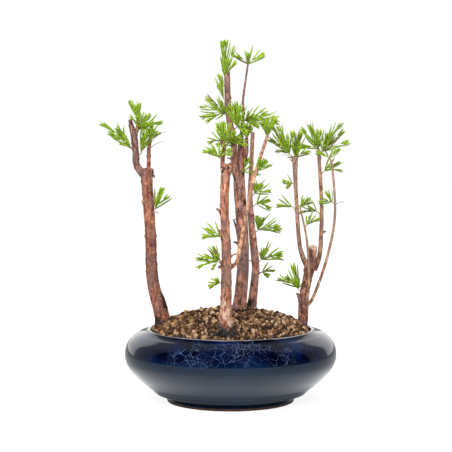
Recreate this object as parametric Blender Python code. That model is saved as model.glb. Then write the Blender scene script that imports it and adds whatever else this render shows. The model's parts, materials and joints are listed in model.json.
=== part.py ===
"""Five young dawn redwoods planted as a small forest in one round, shallow, glazed bowl.

Millimetres in the tables below, metres in the model. +X is to the right in the front view, +Y to the
back and +Z up. The origin is the centre of the bowl's flat underside.
"""

import math
import random

import bmesh
import bpy
from mathutils import Vector, noise
from mathutils.bvhtree import BVHTree
from mathutils.geometry import interpolate_bezier

MM = 0.001
GAP = 0.3  # clearance between touching neighbours

# Bowl: outer profile as (radius, height) from the foot up to the lip
BOWL_SIDES = 40
BOWL_FLOOR = 7.0
BOWL_WALL = 5.0
BOWL_OUTSIDE = ((66, 0), (66.5, 4.5), (77, 10.4), (93, 21), (106, 36), (110, 49.5), (106, 63), (95, 72))
LIP_RADIUS = 1.8
LIP_CENTRE = (85, 73.8)

# Soil: fills the bowl, rises steeply inside the lip and heaps up behind the middle, lowest in front
SOIL_EDGE = 77.0
SOIL_PEAK = 96.0
SOIL_PEAK_AT = (4.0, 26.0)
SOIL_BANK = 0.33  # share of the heap's height that is gained just inside the lip
SOIL_DIP = 0.8  # how much lower the heap stays towards the front
SOIL_SIDES = 60
SOIL_RINGS = 12
SOIL_CENTRE = 0.05  # the inmost ring, as a share of the lip's radius
LUMP_HEIGHT = 3.4  # the loose soil lies in soft lumps
LUMP_APART = 8.0

# Root flare of a trunk: how far it spreads, over what height, in how many roots
FLARE = 0.32
FLARE_HEIGHT = 6.0
ROOTS = 5
TRUNK_SIDES = 10
BOUGH_SIDES = 7
RING_SPACING = 12.0

# Each trunk's route as (right, back, up, radius), from its flat cut at ground level to its tip
TRUNKS = {
    "trunk_left": (
        (-70, 3, 79, 6.6), (-74, 3, 99, 7.2), (-79, 3.2, 115, 6.2), (-82, 3.6, 136, 5.7),
        (-83, 4.2, 172, 5.3), (-86.6, 6, 227, 5.4), (-86.6, 6, 240.5, 6.4),
    ),
    "trunk_front": (
        (-5.3, -62, 77, 8.6), (-5.5, -62, 92, 6), (-4.5, -61, 123, 5.3), (-4.6, -59.5, 165, 4.6),
        (-6.3, -58, 205, 4.2), (-5.5, -57, 234, 4.5), (-3.3, -56, 249, 4.2),
    ),
    "trunk_middle": (
        (9.4, 20, 92, 6.4), (10.8, 20, 108, 6.7), (12.8, 20, 135, 6.3), (13, 19, 165, 5.9),
        (10.2, 17, 208, 6.2), (8.9, 16, 229, 5.8), (10.5, 16, 250, 4.2), (10.8, 16, 275, 2.6),
    ),
    "trunk_back": (
        (21.7, 38, 89.5, 4.8), (23.6, 38, 102, 4.6), (26.4, 37, 134, 4.1), (24.5, 36, 157, 4),
        (20.6, 31, 201, 3), (21.2, 28, 230, 2.4), (23, 24, 278, 1.9),
    ),
    "trunk_right": (
        (75, 8, 78, 3.6), (75.6, 8, 88, 5.2), (76.6, 7.6, 108, 5.3), (79.5, 7, 125, 4.8),
        (82, 7, 136, 5.6), (85, 7, 144, 7.2),
    ),
}

# Each bough: the limb it grows from, and its route as a trunk's, from inside that limb to its tip
BOUGHS = {
    "bough_left_a": ("trunk_left", (
        (-89, 6, 233, 4.2), (-97, 4.5, 245, 3.7), (-98, 1, 260, 3.5), (-99.2, -2.5, 273, 3.6),
        (-103.2, -7, 292, 2),
    )),
    "bough_left_a_fork": ("bough_left_a", (
        (-98.8, -3, 276, 2.5), (-95.6, -3.2, 284, 2.1), (-94.8, -2, 292, 1.7),
    )),
    "bough_left_b": ("trunk_left", (
        (-85.6, 7, 236, 2.6), (-84.8, 10, 247, 2.1), (-84.9, 13, 260, 2), (-83.7, 16, 271, 2),
    )),
    "bough_front_a": ("trunk_front", (
        (-5.8, -56.5, 240, 2.6), (-8.3, -55, 249, 2.2), (-7.4, -53, 261, 1.9), (-8, -52, 272, 1.8),
    )),
    "bough_front_b": ("trunk_front", (
        (-3, -60, 143, 2.2), (5.8, -57, 150.8, 2), (9, -53, 165, 1.9), (20.6, -34, 222, 1.8),
        (27.8, -24, 247, 1.8), (37.7, -12, 276, 1.6),
    )),
    "bough_leader": ("trunk_middle", (
        (8.7, 14, 226, 4), (3.8, 8.5, 242, 3.6), (3.6, 6.5, 258, 3.4), (2.6, 6, 272, 3.3),
        (-1.8, 5, 294, 3.2), (-3.2, 4, 318, 3.1), (-3.6, 4, 341, 2.9),
    )),
    "bough_middle_right": ("trunk_middle", (
        (11, 14.5, 240, 2.6), (16, 12, 257, 2.3), (16.4, 11, 272.5, 2),
    )),
    "bough_middle_tall": ("trunk_middle", (
        (10.8, 16, 273, 1.6), (12.9, 19, 297, 1.5), (13.1, 20, 314, 1.2), (18, 22, 349, 0.9),
    )),
    "bough_right_stub": ("trunk_right", (
        (83.5, 5, 139, 3.4), (84.8, 4.5, 150, 3.3), (85.6, 4.5, 160, 3.4),
    )),
    "bough_right_a": ("trunk_right", (
        (80.5, 6, 138, 3.2), (74.6, 3.5, 150.5, 2.6), (70.8, 1.5, 167.4, 2.2), (67.6, -3, 212, 2),
        (66.3, -5, 240, 2.4), (66.1, -6, 254, 3.3),
    )),
    "bough_right_b": ("trunk_right", (
        (87, 9, 135, 3), (92.4, 12, 149, 2.5), (94.3, 13, 172, 2.2), (94.6, 14, 206, 2),
        (91.3, 16, 261, 1.8),
    )),
    "twig_right_near": ("trunk_right", (
        (78, 5, 100, 1.8), (80.4, -3, 113.6, 1.6), (80.9, -4.5, 139, 1.4), (78, -6.5, 172, 1.2),
        (71.3, -9, 202.5, 0.9),
    )),
    "twig_right_far": ("trunk_right", (
        (78, 7.4, 97, 1.9), (86, 8, 107, 1.7), (100, 5, 148, 1.5), (107.8, 1, 192, 1.3),
        (105, -3, 240, 1.1), (102.2, -4, 252.7, 1),
    )),
}

# Each mass of foliage: its limb, the height where its stem leaves, the stem as (swing, length), and its
# shoots as (swing, rise, reach). Swing is degrees from the right towards the back, rise is degrees above
# level, and reach is from the stem's end to the furthest needle. A stem with no swing follows a limb's tip.
TIP = 999
MASSES = {
    "foliage_left_sweep": ("bough_left_a", 259, (185, 2), ((183, 44, 42), (215, 24, 16), (150, 62, 17))),
    "foliage_left_top": ("bough_left_a_fork", TIP, (None, 2), ((190, 68, 21), (80, 87, 16), (250, 60, 15))),
    "foliage_left_crown": ("bough_left_a_fork", 279, (330, 3), (
        (190, 84, 27), (350, 60, 20), (15, 24, 27), (335, 2, 17), (320, -40, 14), (70, 40, 19), (275, 30, 17))),
    "foliage_left_inner": ("bough_left_a", 253, (350, 2), ((60, 84, 18), (350, 62, 31), (330, 70, 24))),
    "foliage_left_back": ("bough_left_b", TIP, (None, 2), ((50, 84, 19), (90, 35, 16), (20, 30, 13), (280, 40, 13))),
    "foliage_left_low": ("trunk_left", 195, (350, 2), ((20, 72, 24), (345, 48, 23))),
    "foliage_tall_low": ("bough_middle_tall", 288, (320, 3), (
        (348, -2, 37), (335, -20, 19), (10, 45, 12), (20, 14, 17), (335, 30, 15))),
    "foliage_leader_top": ("bough_leader", TIP, (None, 2), (
        (90, 89, 32), (10, 71, 27), (190, 80, 31), (340, 50, 14), (90, 50, 18), (275, 48, 17))),
    "foliage_leader_upper": ("bough_leader", 310, (190, 2), ((185, 77, 27), (120, 64, 18))),
    "foliage_leader_left": ("bough_leader", 293, (190, 2), (
        (175, 46, 27), (190, 26, 28), (170, -4, 26), (205, -16, 24), (130, 68, 15), (265, 34, 17))),
    "foliage_leader_right": ("bough_leader", 279, (330, 5), (
        (200, 72, 26), (95, 84, 27), (350, 80, 24), (218, 56, 25), (60, 50, 18))),
    "foliage_leader_low": ("bough_leader", 263, (215, 3), (
        (190, -4, 15), (205, -36, 14), (170, 58, 17), (215, 28, 15), (280, -16, 13), (285, 45, 13))),
    "foliage_front_top": ("bough_front_a", TIP, (None, 1.5), (
        (185, 76, 19), (80, 88, 19), (5, 70, 20), (190, -2, 16), (270, 40, 14), (85, 36, 15))),
    "foliage_front_side": ("bough_front_a", 252, (190, 2), ((175, 30, 19), (195, 50, 16))),
    "foliage_middle_tip": ("bough_middle_right", TIP, (None, 1.5), (
        (10, 72, 18), (150, 80, 15), (60, 40, 16))),
    "foliage_long_tip": ("bough_front_b", TIP, (None, 1.5), (
        (180, 60, 15), (20, 66, 22), (90, 50, 17), (275, 44, 16))),
    "foliage_tall_tip": ("bough_middle_tall", TIP, (None, 1.5), (
        (175, 34, 19), (5, 34, 20), (90, 55, 13), (270, 50, 12))),
    "foliage_long_node": ("bough_front_b", 237, (350, 2), (
        (20, 60, 15), (355, 36, 16), (285, 62, 15))),
    "foliage_middle_node": ("trunk_middle", 231, (290, 3), ((352, 2, 20), (350, 62, 18))),
    "foliage_front_mid": ("trunk_front", 171, (190, 2), ((175, 33, 18), (190, 12, 20))),
    "foliage_front_low": ("trunk_front", 145, (185, 5), (
        (182, -6, 23), (182, 16, 24), (190, 34, 19), (150, 68, 17), (215, -28, 12), (255, 40, 15))),
    "foliage_front_foot": ("trunk_front", 124, (190, 2), ((190, -14, 13), (215, 22, 10))),
    "foliage_back_high": ("trunk_back", 209, (20, 3), ((5, 16, 19), (15, 52, 14), (80, 40, 16))),
    "foliage_back_upper": ("trunk_back", 197, (350, 4), ((5, 20, 16), (350, -4, 18))),
    "foliage_back_mid": ("trunk_back", 170, (350, 3), (
        (5, 14, 26), (350, 2, 26), (25, 64, 16), (150, 78, 16), (80, 20, 17))),
    "foliage_back_low": ("trunk_back", 138, (0, 3), ((0, 24, 25), (350, 12, 25), (20, 70, 13), (80, 25, 17))),
    "foliage_back_foot": ("trunk_back", 124, (10, 4), ((5, 18, 15), (350, -30, 10))),
    "foliage_right_a_left": ("bough_right_a", 252, (190, 5), (
        (180, 58, 34), (200, 68, 34), (175, 42, 27), (215, 20, 19), (120, 40, 22), (262, 34, 20))),
    "foliage_right_a_top": ("bough_right_a", TIP, (None, 2), (
        (170, 84, 27), (10, 76, 26), (350, 22, 16), (90, 55, 16), (280, 45, 17))),
    "foliage_right_b_top": ("bough_right_b", TIP, (None, 2), (
        (190, 8, 21), (175, 52, 29), (200, 72, 27), (10, 84, 20), (90, 50, 20), (268, 42, 18))),
    "foliage_right_b_right": ("bough_right_b", 255, (0, 3), (
        (5, 58, 38), (348, 46, 33), (12, 24, 31), (70, 40, 20), (285, 36, 19))),
    "foliage_far_tip": ("twig_right_far", TIP, (None, 1.5), ((190, 20, 16), (0, 45, 14))),
    "foliage_right_b_mid": ("bough_right_b", 234, (0, 3), ((355, 36, 21), (10, 4, 20))),
    "foliage_right_a_mid": ("bough_right_a", 224, (190, 2), ((185, 18, 11), (200, -30, 9))),
    "foliage_far_mid": ("twig_right_far", 205, (190, 2), ((185, 55, 15), (190, 8, 15))),
    "foliage_right_a_low": ("bough_right_a", 197, (190, 3), ((185, 12, 18), )),
    "foliage_near_tip": ("twig_right_near", TIP, (None, 1.5), ((5, 42, 14), (10, 16, 14))),
    "foliage_right_b_low": ("bough_right_b", 191, (185, 4), ((190, 4, 22), (200, 30, 13))),
    "foliage_near_mid": ("twig_right_near", 181, (350, 2), ((20, 74, 11), (355, 30, 16))),
    "foliage_right_foot": ("trunk_right", 111, (190, 3), (
        (180, 30, 25), (170, 54, 21), (185, 78, 28), (215, 60, 14), (275, 30, 17), (100, 40, 17))),
}

# Needles: two ranks along each shoot, shorter towards both ends, raked further forward at the tip
NEEDLE = 11.5
NEEDLE_OF_REACH = 0.5
NEEDLE_THICK = 0.9
PAIR_SPACING = 4.2
BARE_FOOT = 3.5
NEEDLE_SAMPLES = (0.2, 0.32, 0.44, 0.56, 0.68, 0.79, 0.9, 1)  # where a needle is tested for clearance
SHOOT_HALF = 0.6
STEM_RADIUS = 0.9
STEM_RISE = 40
STEM_SIDES = 5
RAKE_FOOT = 36
RAKE_TIP = 16
ARCH = 0.10
DEPTH = 0.45  # level shoots lean to the back and to the front in turn, by this share of their reach
DEPTH_UPRIGHT = 0.2  # and upright ones by this share
SEED = 7

COLOURS = {
    "bowl": ((0.012, 0.022, 0.075), 0.12),
    "soil": ((0.26, 0.15, 0.075), 0.95),
    "bark": ((0.36, 0.17, 0.10), 0.85),
    "young_bark": ((0.45, 0.25, 0.13), 0.8),
    "needles": ((0.27, 0.47, 0.04), 0.6),
}


def clear_scene():
    for obj in list(bpy.data.objects):
        bpy.data.objects.remove(obj)


def make_material(name, colour):
    """A Principled material of one of the plant's colours."""
    base, roughness = COLOURS[colour]
    material = bpy.data.materials.new(name)
    material.use_nodes = True
    shader = material.node_tree.nodes["Principled BSDF"]
    shader.inputs["Base Color"].default_value = (*base, 1)
    shader.inputs["Roughness"].default_value = roughness
    return material


def add_object(name, mesh, collection=None):
    obj = bpy.data.objects.new(name, mesh)
    (collection or bpy.context.scene.collection).objects.link(obj)
    return obj


def finish(obj, colour, angle=50):
    obj.data.materials.clear()
    obj.data.materials.append(make_material(obj.name, colour))
    obj.data.shade_smooth()
    obj.data.set_sharp_from_angle(angle=math.radians(angle))


def mesh_of(name, points, faces):
    """A mesh from points in millimetres, with every face turned outwards."""
    mesh = bpy.data.meshes.new(name)
    mesh.from_pydata([Vector(p) * MM for p in points], [], faces)
    shape = bmesh.new()
    shape.from_mesh(mesh)
    bmesh.ops.recalc_face_normals(shape, faces=shape.faces)
    shape.to_mesh(mesh)
    shape.free()
    return mesh


def skin_rings(rings):
    """Points and faces of a closed skin over rings of equal size, with a flat cap at each end."""
    sides = len(rings[0])
    points = [p for ring in rings for p in ring]
    faces = [tuple(range(sides))[::-1], tuple(range(len(points) - sides, len(points)))]
    for low in range(0, len(points) - sides, sides):
        for i in range(sides):
            j = (i + 1) % sides
            faces.append((low + i, low + j, low + sides + j, low + sides + i))
    return points, faces


def boolean(obj, other, operation):
    """Joins or cuts obj with an object or a collection, and applies it."""
    modifier = obj.modifiers.new("Boolean", "BOOLEAN")
    modifier.operation = operation
    modifier.solver = "EXACT"
    if isinstance(other, bpy.types.Collection):
        modifier.operand_type = "COLLECTION"
        modifier.collection = other
    else:
        modifier.object = other
    graph = bpy.context.evaluated_depsgraph_get()
    mesh = bpy.data.meshes.new_from_object(obj.evaluated_get(graph))
    obj.modifiers.remove(modifier)
    old = obj.data
    obj.data = mesh
    bpy.data.meshes.remove(old)


def cut(obj, mesh):
    """Takes the mesh's shape away from obj."""
    cutter = add_object("cutter", mesh)
    boolean(obj, cutter, "DIFFERENCE")
    bpy.data.objects.remove(cutter)
    keep_largest_island(obj)


def keep_largest_island(obj):
    """Drops loose scraps and sealed hollows, and merges points closer than a micrometre."""
    shape = bmesh.new()
    shape.from_mesh(obj.data)
    bmesh.ops.remove_doubles(shape, verts=shape.verts, dist=0.001 * MM)
    bmesh.ops.triangulate(shape, faces=shape.faces)
    bmesh.ops.dissolve_degenerate(shape, dist=0.0005 * MM, edges=shape.edges)
    left = set(shape.faces)
    islands = []
    while left:
        island = [left.pop()]
        for face in island:
            for edge in face.edges:
                for other in edge.link_faces:
                    if other in left:
                        left.discard(other)
                        island.append(other)
        islands.append(island)
    islands.sort(key=len, reverse=True)
    for island in islands[1:]:
        bmesh.ops.delete(shape, geom=island, context="FACES")
    shape.to_mesh(obj.data)
    shape.free()


def turned_profile(corners, steps):
    """A smooth line through the corners, with this many steps between each two."""
    points = [Vector((x, 0, z)) for x, z in corners]
    ends = [points[0]] + points + [points[-1]]
    line = []
    for before, start, end, after in zip(ends, ends[1:], ends[2:], ends[3:]):
        line += interpolate_bezier(start, start + (end - before) / 6, end - (after - start) / 6, end, steps + 1)[:-1]
    return [(p.x, p.z) for p in line + [points[-1]]]


def make_bowl():
    """The bowl: a closed profile turned round the vertical axis."""
    outside = turned_profile(BOWL_OUTSIDE, 2)[:-1]
    lip = []
    for step in range(4):
        angle = math.radians(15 + 50 * step)
        lip.append((LIP_CENTRE[0] + LIP_RADIUS * math.cos(angle), LIP_CENTRE[1] + LIP_RADIUS * math.sin(angle)))
    inside = [(0, BOWL_FLOOR)] + bowl_inside()
    profile = [(0, 0)] + outside + lip + inside[::-1]
    mesh = bpy.data.meshes.new("bowl")
    edges = [(i, i + 1) for i in range(len(profile) - 1)]
    mesh.from_pydata([(x * MM, 0, z * MM) for x, z in profile[::-1]], edges, [])
    bowl = add_object("bowl", mesh)
    screw = bowl.modifiers.new("Turn", "SCREW")
    screw.steps = screw.render_steps = BOWL_SIDES
    screw.use_merge_vertices = True
    screw.merge_threshold = 0.0001
    finish(bowl, "bowl", 35)
    return bowl


def bowl_inside():
    """The bowl's inner profile, a wall's thickness inside its outer one, from the floor to under the lip."""
    wall = [(radius - BOWL_WALL * 1.05, height) for radius, height in BOWL_OUTSIDE[3:6]]
    return [(70, BOWL_FLOOR)] + wall + [(100.5, 61), (88, 70.5)]


def soil_height(out, frontness):
    """Height of the heap at a share of the lip's radius, where frontness is 1 straight to the front."""
    rise = SOIL_BANK * (1 - out ** 8) + (1 - SOIL_BANK) * (1 - out ** 1.3)
    return SOIL_EDGE + (SOIL_PEAK - SOIL_EDGE) * rise * (1 - SOIL_DIP * out * max(0, frontness) ** 2)


def lump(x, y):
    return LUMP_HEIGHT * noise.noise(Vector((x, y, 0)) / LUMP_APART)


def make_soil():
    """The soil: follows the bowl's inside, then heaps up in lumps towards a peak behind the middle."""
    widest = max(bowl_inside())[1]
    profile = [(radius - 2.4 * GAP, height + (GAP if height < widest else -GAP)) for radius, height in bowl_inside()]
    edge = LIP_CENTRE[0] - LIP_RADIUS - 3 * GAP
    profile.append((edge, LIP_CENTRE[1] - 1))
    rings = [circle(0, 0, height, radius, SOIL_SIDES) for radius, height in profile]
    for number in range(SOIL_RINGS):
        out = 1 - (1 - SOIL_CENTRE) * (number / (SOIL_RINGS - 1)) ** 1.2  # closer together by the lip
        x = SOIL_PEAK_AT[0] * (1 - out)
        y = SOIL_PEAK_AT[1] * (1 - out)
        ring = []
        for px, py, _ in circle(x, y, 0, edge * out, SOIL_SIDES):
            height = soil_height(out, (y - py) / (edge * out))
            ring.append((px, py, height + lump(px, py) * (1 - out ** 12)))
        rings.append(ring)
    soil = add_object("soil", mesh_of("soil", *skin_rings(rings)))
    for route in TRUNKS.values():
        cut(soil, limb_mesh(route, TRUNK_SIDES, 2 * GAP, rooted=True))
    finish(soil, "soil", 40)
    return soil


def circle(x, y, z, radius, sides):
    turns = [math.tau * i / sides for i in range(sides)]
    return [(x + radius * math.cos(turn), y + radius * math.sin(turn), z) for turn in turns]


def smooth_route(route, spacing):
    """Points (position, radius) about this far apart on a smooth curve through a limb's route."""
    marks = [Vector(point) for point in route]
    ends = [2 * marks[0] - marks[1]] + marks + [2 * marks[-1] - marks[-2]]
    line = []
    for before, start, end, after in zip(ends, ends[1:], ends[2:], ends[3:]):
        steps = max(1, round((end - start).to_3d().length / spacing))
        for step in range(steps):
            t = step / steps
            line.append(0.5 * (
                2 * start + (end - before) * t + (2 * before - 5 * start + 4 * end - after) * t * t
                + (3 * start - before - 3 * end + after) * t ** 3
            ))
    line.append(marks[-1])
    return [(point.to_3d(), point.w) for point in line]


def limb_mesh(route, sides, grow=0.0, rooted=False):
    """A tapering limb round its route. Grown, it is fatter and longer by that much, as a cutter."""
    line = smooth_route(route, RING_SPACING)
    spots = [spot for spot, _ in line]
    if rooted:
        extra = spots[0].lerp(spots[1], 0.4)
        line.insert(1, (extra, line[0][1] * 0.6 + line[1][1] * 0.4))
        spots.insert(1, extra)
    rings = []
    across = Vector((1, 0, 0))
    for i, (spot, radius) in enumerate(line):
        along = (spots[min(i + 1, len(spots) - 1)] - spots[max(i - 1, 0)]).normalized()
        if rooted and i < 2:
            along = Vector((0, 0, 1))
        across = (across - across.dot(along) * along).normalized()
        other = along.cross(across)
        shift = Vector()
        if grow and i in (0, len(line) - 1):
            shift = along * (grow if i else -grow)
        height = spot.z - spots[0].z
        ring = []
        for side in range(sides):
            turn = math.tau * side / sides
            reach = radius
            if rooted:
                lobe = 1 + 0.5 * math.cos(ROOTS * turn + spots[0].x)
                reach *= 1 + FLARE * lobe * math.exp(-height / FLARE_HEIGHT)
            reach += grow / math.cos(math.pi / sides)
            ring.append(spot + shift + (across * math.cos(turn) + other * math.sin(turn)) * reach)
        rings.append(ring)
    return mesh_of("limb", *skin_rings(rings))


def make_limbs():
    """Trunks whole, then each bough with its foot cut clear of the limb that it grows from."""
    limbs = {}
    for name, route in TRUNKS.items():
        limbs[name] = add_object(name, limb_mesh(route, TRUNK_SIDES, rooted=True))
        finish(limbs[name], "bark")
    for name, (parent, route) in BOUGHS.items():
        bough = add_object(name, limb_mesh(route, BOUGH_SIDES))
        rooted = parent in TRUNKS
        cut(bough, limb_mesh(route_of(parent), TRUNK_SIDES if rooted else BOUGH_SIDES, GAP, rooted))
        finish(bough, "young_bark")
        limbs[name] = bough
    return limbs


def tree_of(obj):
    """A search tree over the object's faces, in millimetres."""
    mesh = obj.data
    mesh.calc_loop_triangles()
    points = [vert.co / MM for vert in mesh.vertices]
    return BVHTree.FromPolygons(points, [tuple(face.vertices) for face in mesh.loop_triangles])


def heading(swing, rise):
    swing, rise = math.radians(swing), math.radians(rise)
    return Vector((math.cos(swing) * math.cos(rise), math.sin(swing) * math.cos(rise), math.sin(rise)))


def route_of(limb):
    return TRUNKS[limb] if limb in TRUNKS else BOUGHS[limb][1]


def stem_foot(limb, height, swing, tree):
    """Where a stem leaves its limb, the gap clear of the bark, and in which direction."""
    line = smooth_route(route_of(limb), 2.0)
    if height == TIP:
        spot = line[-1][0]
        along = (line[-1][0] - line[-2][0]).normalized()
        return spot + along * GAP, along
    spot = min(line, key=lambda point: abs(point[0].z - height))[0]
    away = heading(swing, STEM_RISE)
    outside = 20  # further out than any limb's bark
    bark, _, _, _ = tree.ray_cast(spot + away * outside, -away)
    foot = bark + away * GAP
    across = away.orthogonal().normalized() * STEM_RADIUS
    other = away.cross(across)
    edge = [across * math.cos(turn) + other * math.sin(turn) for turn in range(7)]
    while min(height_over(foot + spoke, tree) for spoke in edge) < GAP:
        foot += away * 0.05
    return foot, away


def height_over(spot, tree):
    """How far a point stands outside a solid's nearest face, negative inside it."""
    near, outwards, _, _ = tree.find_nearest(spot)
    return (spot - near).dot(outwards)


def is_clear(spots, trees):
    """Whether each (point, half width) keeps the gap to every other solid."""
    for spot, half in spots:
        for tree in trees:
            if tree.find_nearest(spot, half + GAP)[0] is not None:
                return False
    return True


def shoot_mesh(hub, direction, reach, roll, rng, trees):
    """One shoot: a flat toothed blade, each tooth a needle that tapers from the shoot to its tip."""
    needle = min(NEEDLE, NEEDLE_OF_REACH * reach)
    length = reach - 0.85 * needle
    lift = Vector((0, 0, 1)) - direction.z * direction
    bend = hub + direction * length * 0.5 + lift * ARCH * reach
    end = hub + direction * length
    bare = min(BARE_FOOT, 0.3 * length)
    pairs = max(2, round((length - bare) / PAIR_SPACING))
    stations = [0.0] + [(bare + (length - bare) * i / pairs) / length for i in range(pairs + 1)]
    line = [hub * (1 - t) ** 2 + bend * 2 * t * (1 - t) + end * t * t for t in stations]
    flat = direction.cross(Vector((0, -1, 0)))
    if flat.length < 0.1:
        flat = Vector((1, 0, 0))
    side = flat.normalized()
    side = side * math.cos(roll) + direction.cross(side) * math.sin(roll)
    points, faces = [], []
    for i, spot in enumerate(line):
        along = (line[min(i + 1, len(line) - 1)] - line[max(i - 1, 0)]).normalized()
        side = (side - side.dot(along) * along).normalized()
        face = along.cross(side)
        half = SHOOT_HALF * (1 - 0.4 * i / len(line))
        thick = NEEDLE_THICK / 2
        points += [spot + side * half + face * thick, spot - side * half + face * thick]
        points += [spot - side * half - face * thick, spot + side * half - face * thick]
    close = [low.lerp(high, t) for low, high in zip(line, line[1:]) for t in (0, 0.25, 0.5, 0.75)]
    if not is_clear([(spot, SHOOT_HALF) for spot in close], trees):
        return None
    faces.append((3, 2, 1, 0))
    for i in range(len(line) - 1):
        low, high = 4 * i, 4 * i + 4
        faces += [(low, low + 1, high + 1, high), (low + 2, low + 3, high + 3, high + 2)]
        along = (line[i + 1] - line[i]).normalized()
        for left in (1, 0):
            quad = (low + 1, low + 2, high + 2, high + 1) if left else (low + 3, low, high, high + 3)
            place = (i - 0.5) / pairs
            grown = needle * (1 - 0.5 * abs(place - 0.45)) * rng.uniform(0.88, 1.08)
            rake = math.radians(RAKE_FOOT + (RAKE_TIP - RAKE_FOOT) * place + rng.uniform(-6, 6))
            out = -side if left else side
            middle = sum((points[k] for k in quad), Vector()) / 4
            tip = middle + (along * math.cos(rake) + out * math.sin(rake)) * grown
            samples = [(middle.lerp(tip, t), (1 - t) * 1.2 + 0.1) for t in NEEDLE_SAMPLES]
            if i == 0 or not is_clear(samples, trees):
                faces.append(quad)
                continue
            points.append(tip)
            apex = len(points) - 1
            faces += [(quad[k], quad[(k + 1) % 4], apex) for k in range(4)]
    last = 4 * (len(line) - 1)
    apex = line[-1] + (line[-1] - line[-2]).normalized() * needle * 0.85
    if is_clear([(line[-1].lerp(apex, t), (1 - t) * 0.8 + 0.1) for t in NEEDLE_SAMPLES], trees):
        points.append(apex)
        faces += [(last + k, last + (k + 1) % 4, len(points) - 1) for k in range(4)]
    else:
        faces.append((last, last + 1, last + 2, last + 3))
    return mesh_of("shoot", points, faces)


def make_mass(name, number, trees, limbs):
    """One mass: a stem from its limb, and shoots that branch from the stem's end, joined as one solid."""
    limb, height, (stem_swing, stem_length), shoots = MASSES[name]
    rng = random.Random(SEED * 100 + number)
    foot, away = stem_foot(limb, height, stem_swing, limbs[limb])
    hub = foot + away * stem_length
    others = list(trees.values())
    line = [(*foot, STEM_RADIUS), (*(hub + away * 0.5), STEM_RADIUS)]
    neighbours = [tree for place, tree in trees.items() if place != limb]
    if not is_clear([(foot, STEM_RADIUS), (foot.lerp(hub, 0.5), STEM_RADIUS), (hub, STEM_RADIUS)], neighbours):
        print(name, "has a stem too close to a neighbour")
    mass = add_object(name, limb_mesh(line, STEM_SIDES))
    joined = bpy.data.collections.new(name)
    skipped = 0
    for turn, (swing, rise, reach) in enumerate(shoots):
        way = heading(swing + rng.uniform(-4, 4), rise + rng.uniform(-2, 2)) * reach
        lean = reach * (DEPTH - (DEPTH - DEPTH_UPRIGHT) * math.sin(math.radians(abs(rise))))
        way.y += lean if (turn + number) % 2 else -lean
        roll = math.radians(rng.uniform(-50, 50))
        mesh = shoot_mesh(hub, way.normalized(), way.length, roll, rng, others)
        if mesh is None:
            skipped += 1
            continue
        joined.objects.link(bpy.data.objects.new("shoot", mesh))
    if skipped:
        print(name, "shoots skipped:", skipped)
    boolean(mass, joined, "UNION")
    for obj in list(joined.objects):
        bpy.data.objects.remove(obj)
    bpy.data.collections.remove(joined)
    keep_largest_island(mass)
    finish(mass, "needles", 30)
    return mass


def main():
    clear_scene()
    make_bowl()
    soil = make_soil()
    limbs = make_limbs()
    limb_trees = {name: tree_of(limb) for name, limb in limbs.items()}
    trees = dict(limb_trees, soil=tree_of(soil))
    for number, name in enumerate(MASSES):
        mass = make_mass(name, number, trees, limb_trees)
        trees[name] = tree_of(mass)


main()
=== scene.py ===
"""Five young dawn redwoods in one round glazed bowl, dressed for a studio picture.

The tables of limbs and foliage are in millimetres and degrees, and the model is in metres. The bowl, the
soil and every limb are turned or drawn out again with their surface relief, and each mass of foliage grows
by its own rule into finer twigs and single needles.
"""

import json
import math
import random

import bmesh
import bpy
from mathutils import Euler, Matrix, Vector, noise
from mathutils.bvhtree import BVHTree
from mathutils.geometry import interpolate_bezier

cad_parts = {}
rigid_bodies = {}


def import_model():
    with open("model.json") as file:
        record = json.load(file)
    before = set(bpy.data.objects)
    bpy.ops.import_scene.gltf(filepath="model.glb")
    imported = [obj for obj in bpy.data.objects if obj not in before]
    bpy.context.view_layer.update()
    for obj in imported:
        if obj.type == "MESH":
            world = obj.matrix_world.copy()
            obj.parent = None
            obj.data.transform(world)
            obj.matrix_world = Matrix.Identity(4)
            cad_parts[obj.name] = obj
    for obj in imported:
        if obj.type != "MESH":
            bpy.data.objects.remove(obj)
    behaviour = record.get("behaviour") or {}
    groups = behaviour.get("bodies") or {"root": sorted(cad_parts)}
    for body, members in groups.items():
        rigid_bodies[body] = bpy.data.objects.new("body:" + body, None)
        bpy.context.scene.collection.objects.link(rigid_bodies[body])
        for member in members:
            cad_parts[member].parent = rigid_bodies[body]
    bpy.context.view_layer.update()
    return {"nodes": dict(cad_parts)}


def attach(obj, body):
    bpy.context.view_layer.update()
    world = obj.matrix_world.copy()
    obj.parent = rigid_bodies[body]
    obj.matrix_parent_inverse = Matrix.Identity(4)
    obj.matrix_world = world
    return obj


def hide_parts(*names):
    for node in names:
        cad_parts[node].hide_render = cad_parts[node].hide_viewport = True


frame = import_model()

MM = 0.001
SMALLEST = 0.02  # of a ring that stands for a point
BODY = "root"
SEED = 7

# Camera: level with the crowns, looking slightly down from the front
CAMERA_AT = (-0.0048, -1.9, 0.35)
CAMERA_PITCH = 5.05
CAMERA_LENS = 146.9
CAMERA_FILM = 36.0

# Bowl, as (radius, height), with the steps between two corners and the lip's turn in degrees
BOWL_SIDES = 160
BARE_CLAY_TOP = 2.6  # the glaze ends this far above the foot
BARE_CLAY_REACH = 66.8
BOWL_FOOT = (
    (20, 1.4), (60, 1.4), (62, 0.5), (64.6, 0.05), (65.7, 0.3), (66.15, 1.0), (66.3, 1.8),
    (66.4, BARE_CLAY_TOP),
)
BOWL_OUTSIDE = ((66.5, 3.2), (66.5, 4.5), (77, 10.4), (93, 21), (106, 36), (110, 49.5), (106, 63), (95, 72))
BOWL_INSIDE = ((0, 7), (70, 7), (87.75, 21), (100.75, 36), (104.75, 49.5), (100.5, 61), (88, 70.5))
OUTSIDE_STEPS = 9
INSIDE_STEPS = 4
LIP_RADIUS = 1.8
LIP_CENTRE = (85, 73.8)
LIP_TURN = (-5, 176, 20)

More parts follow.
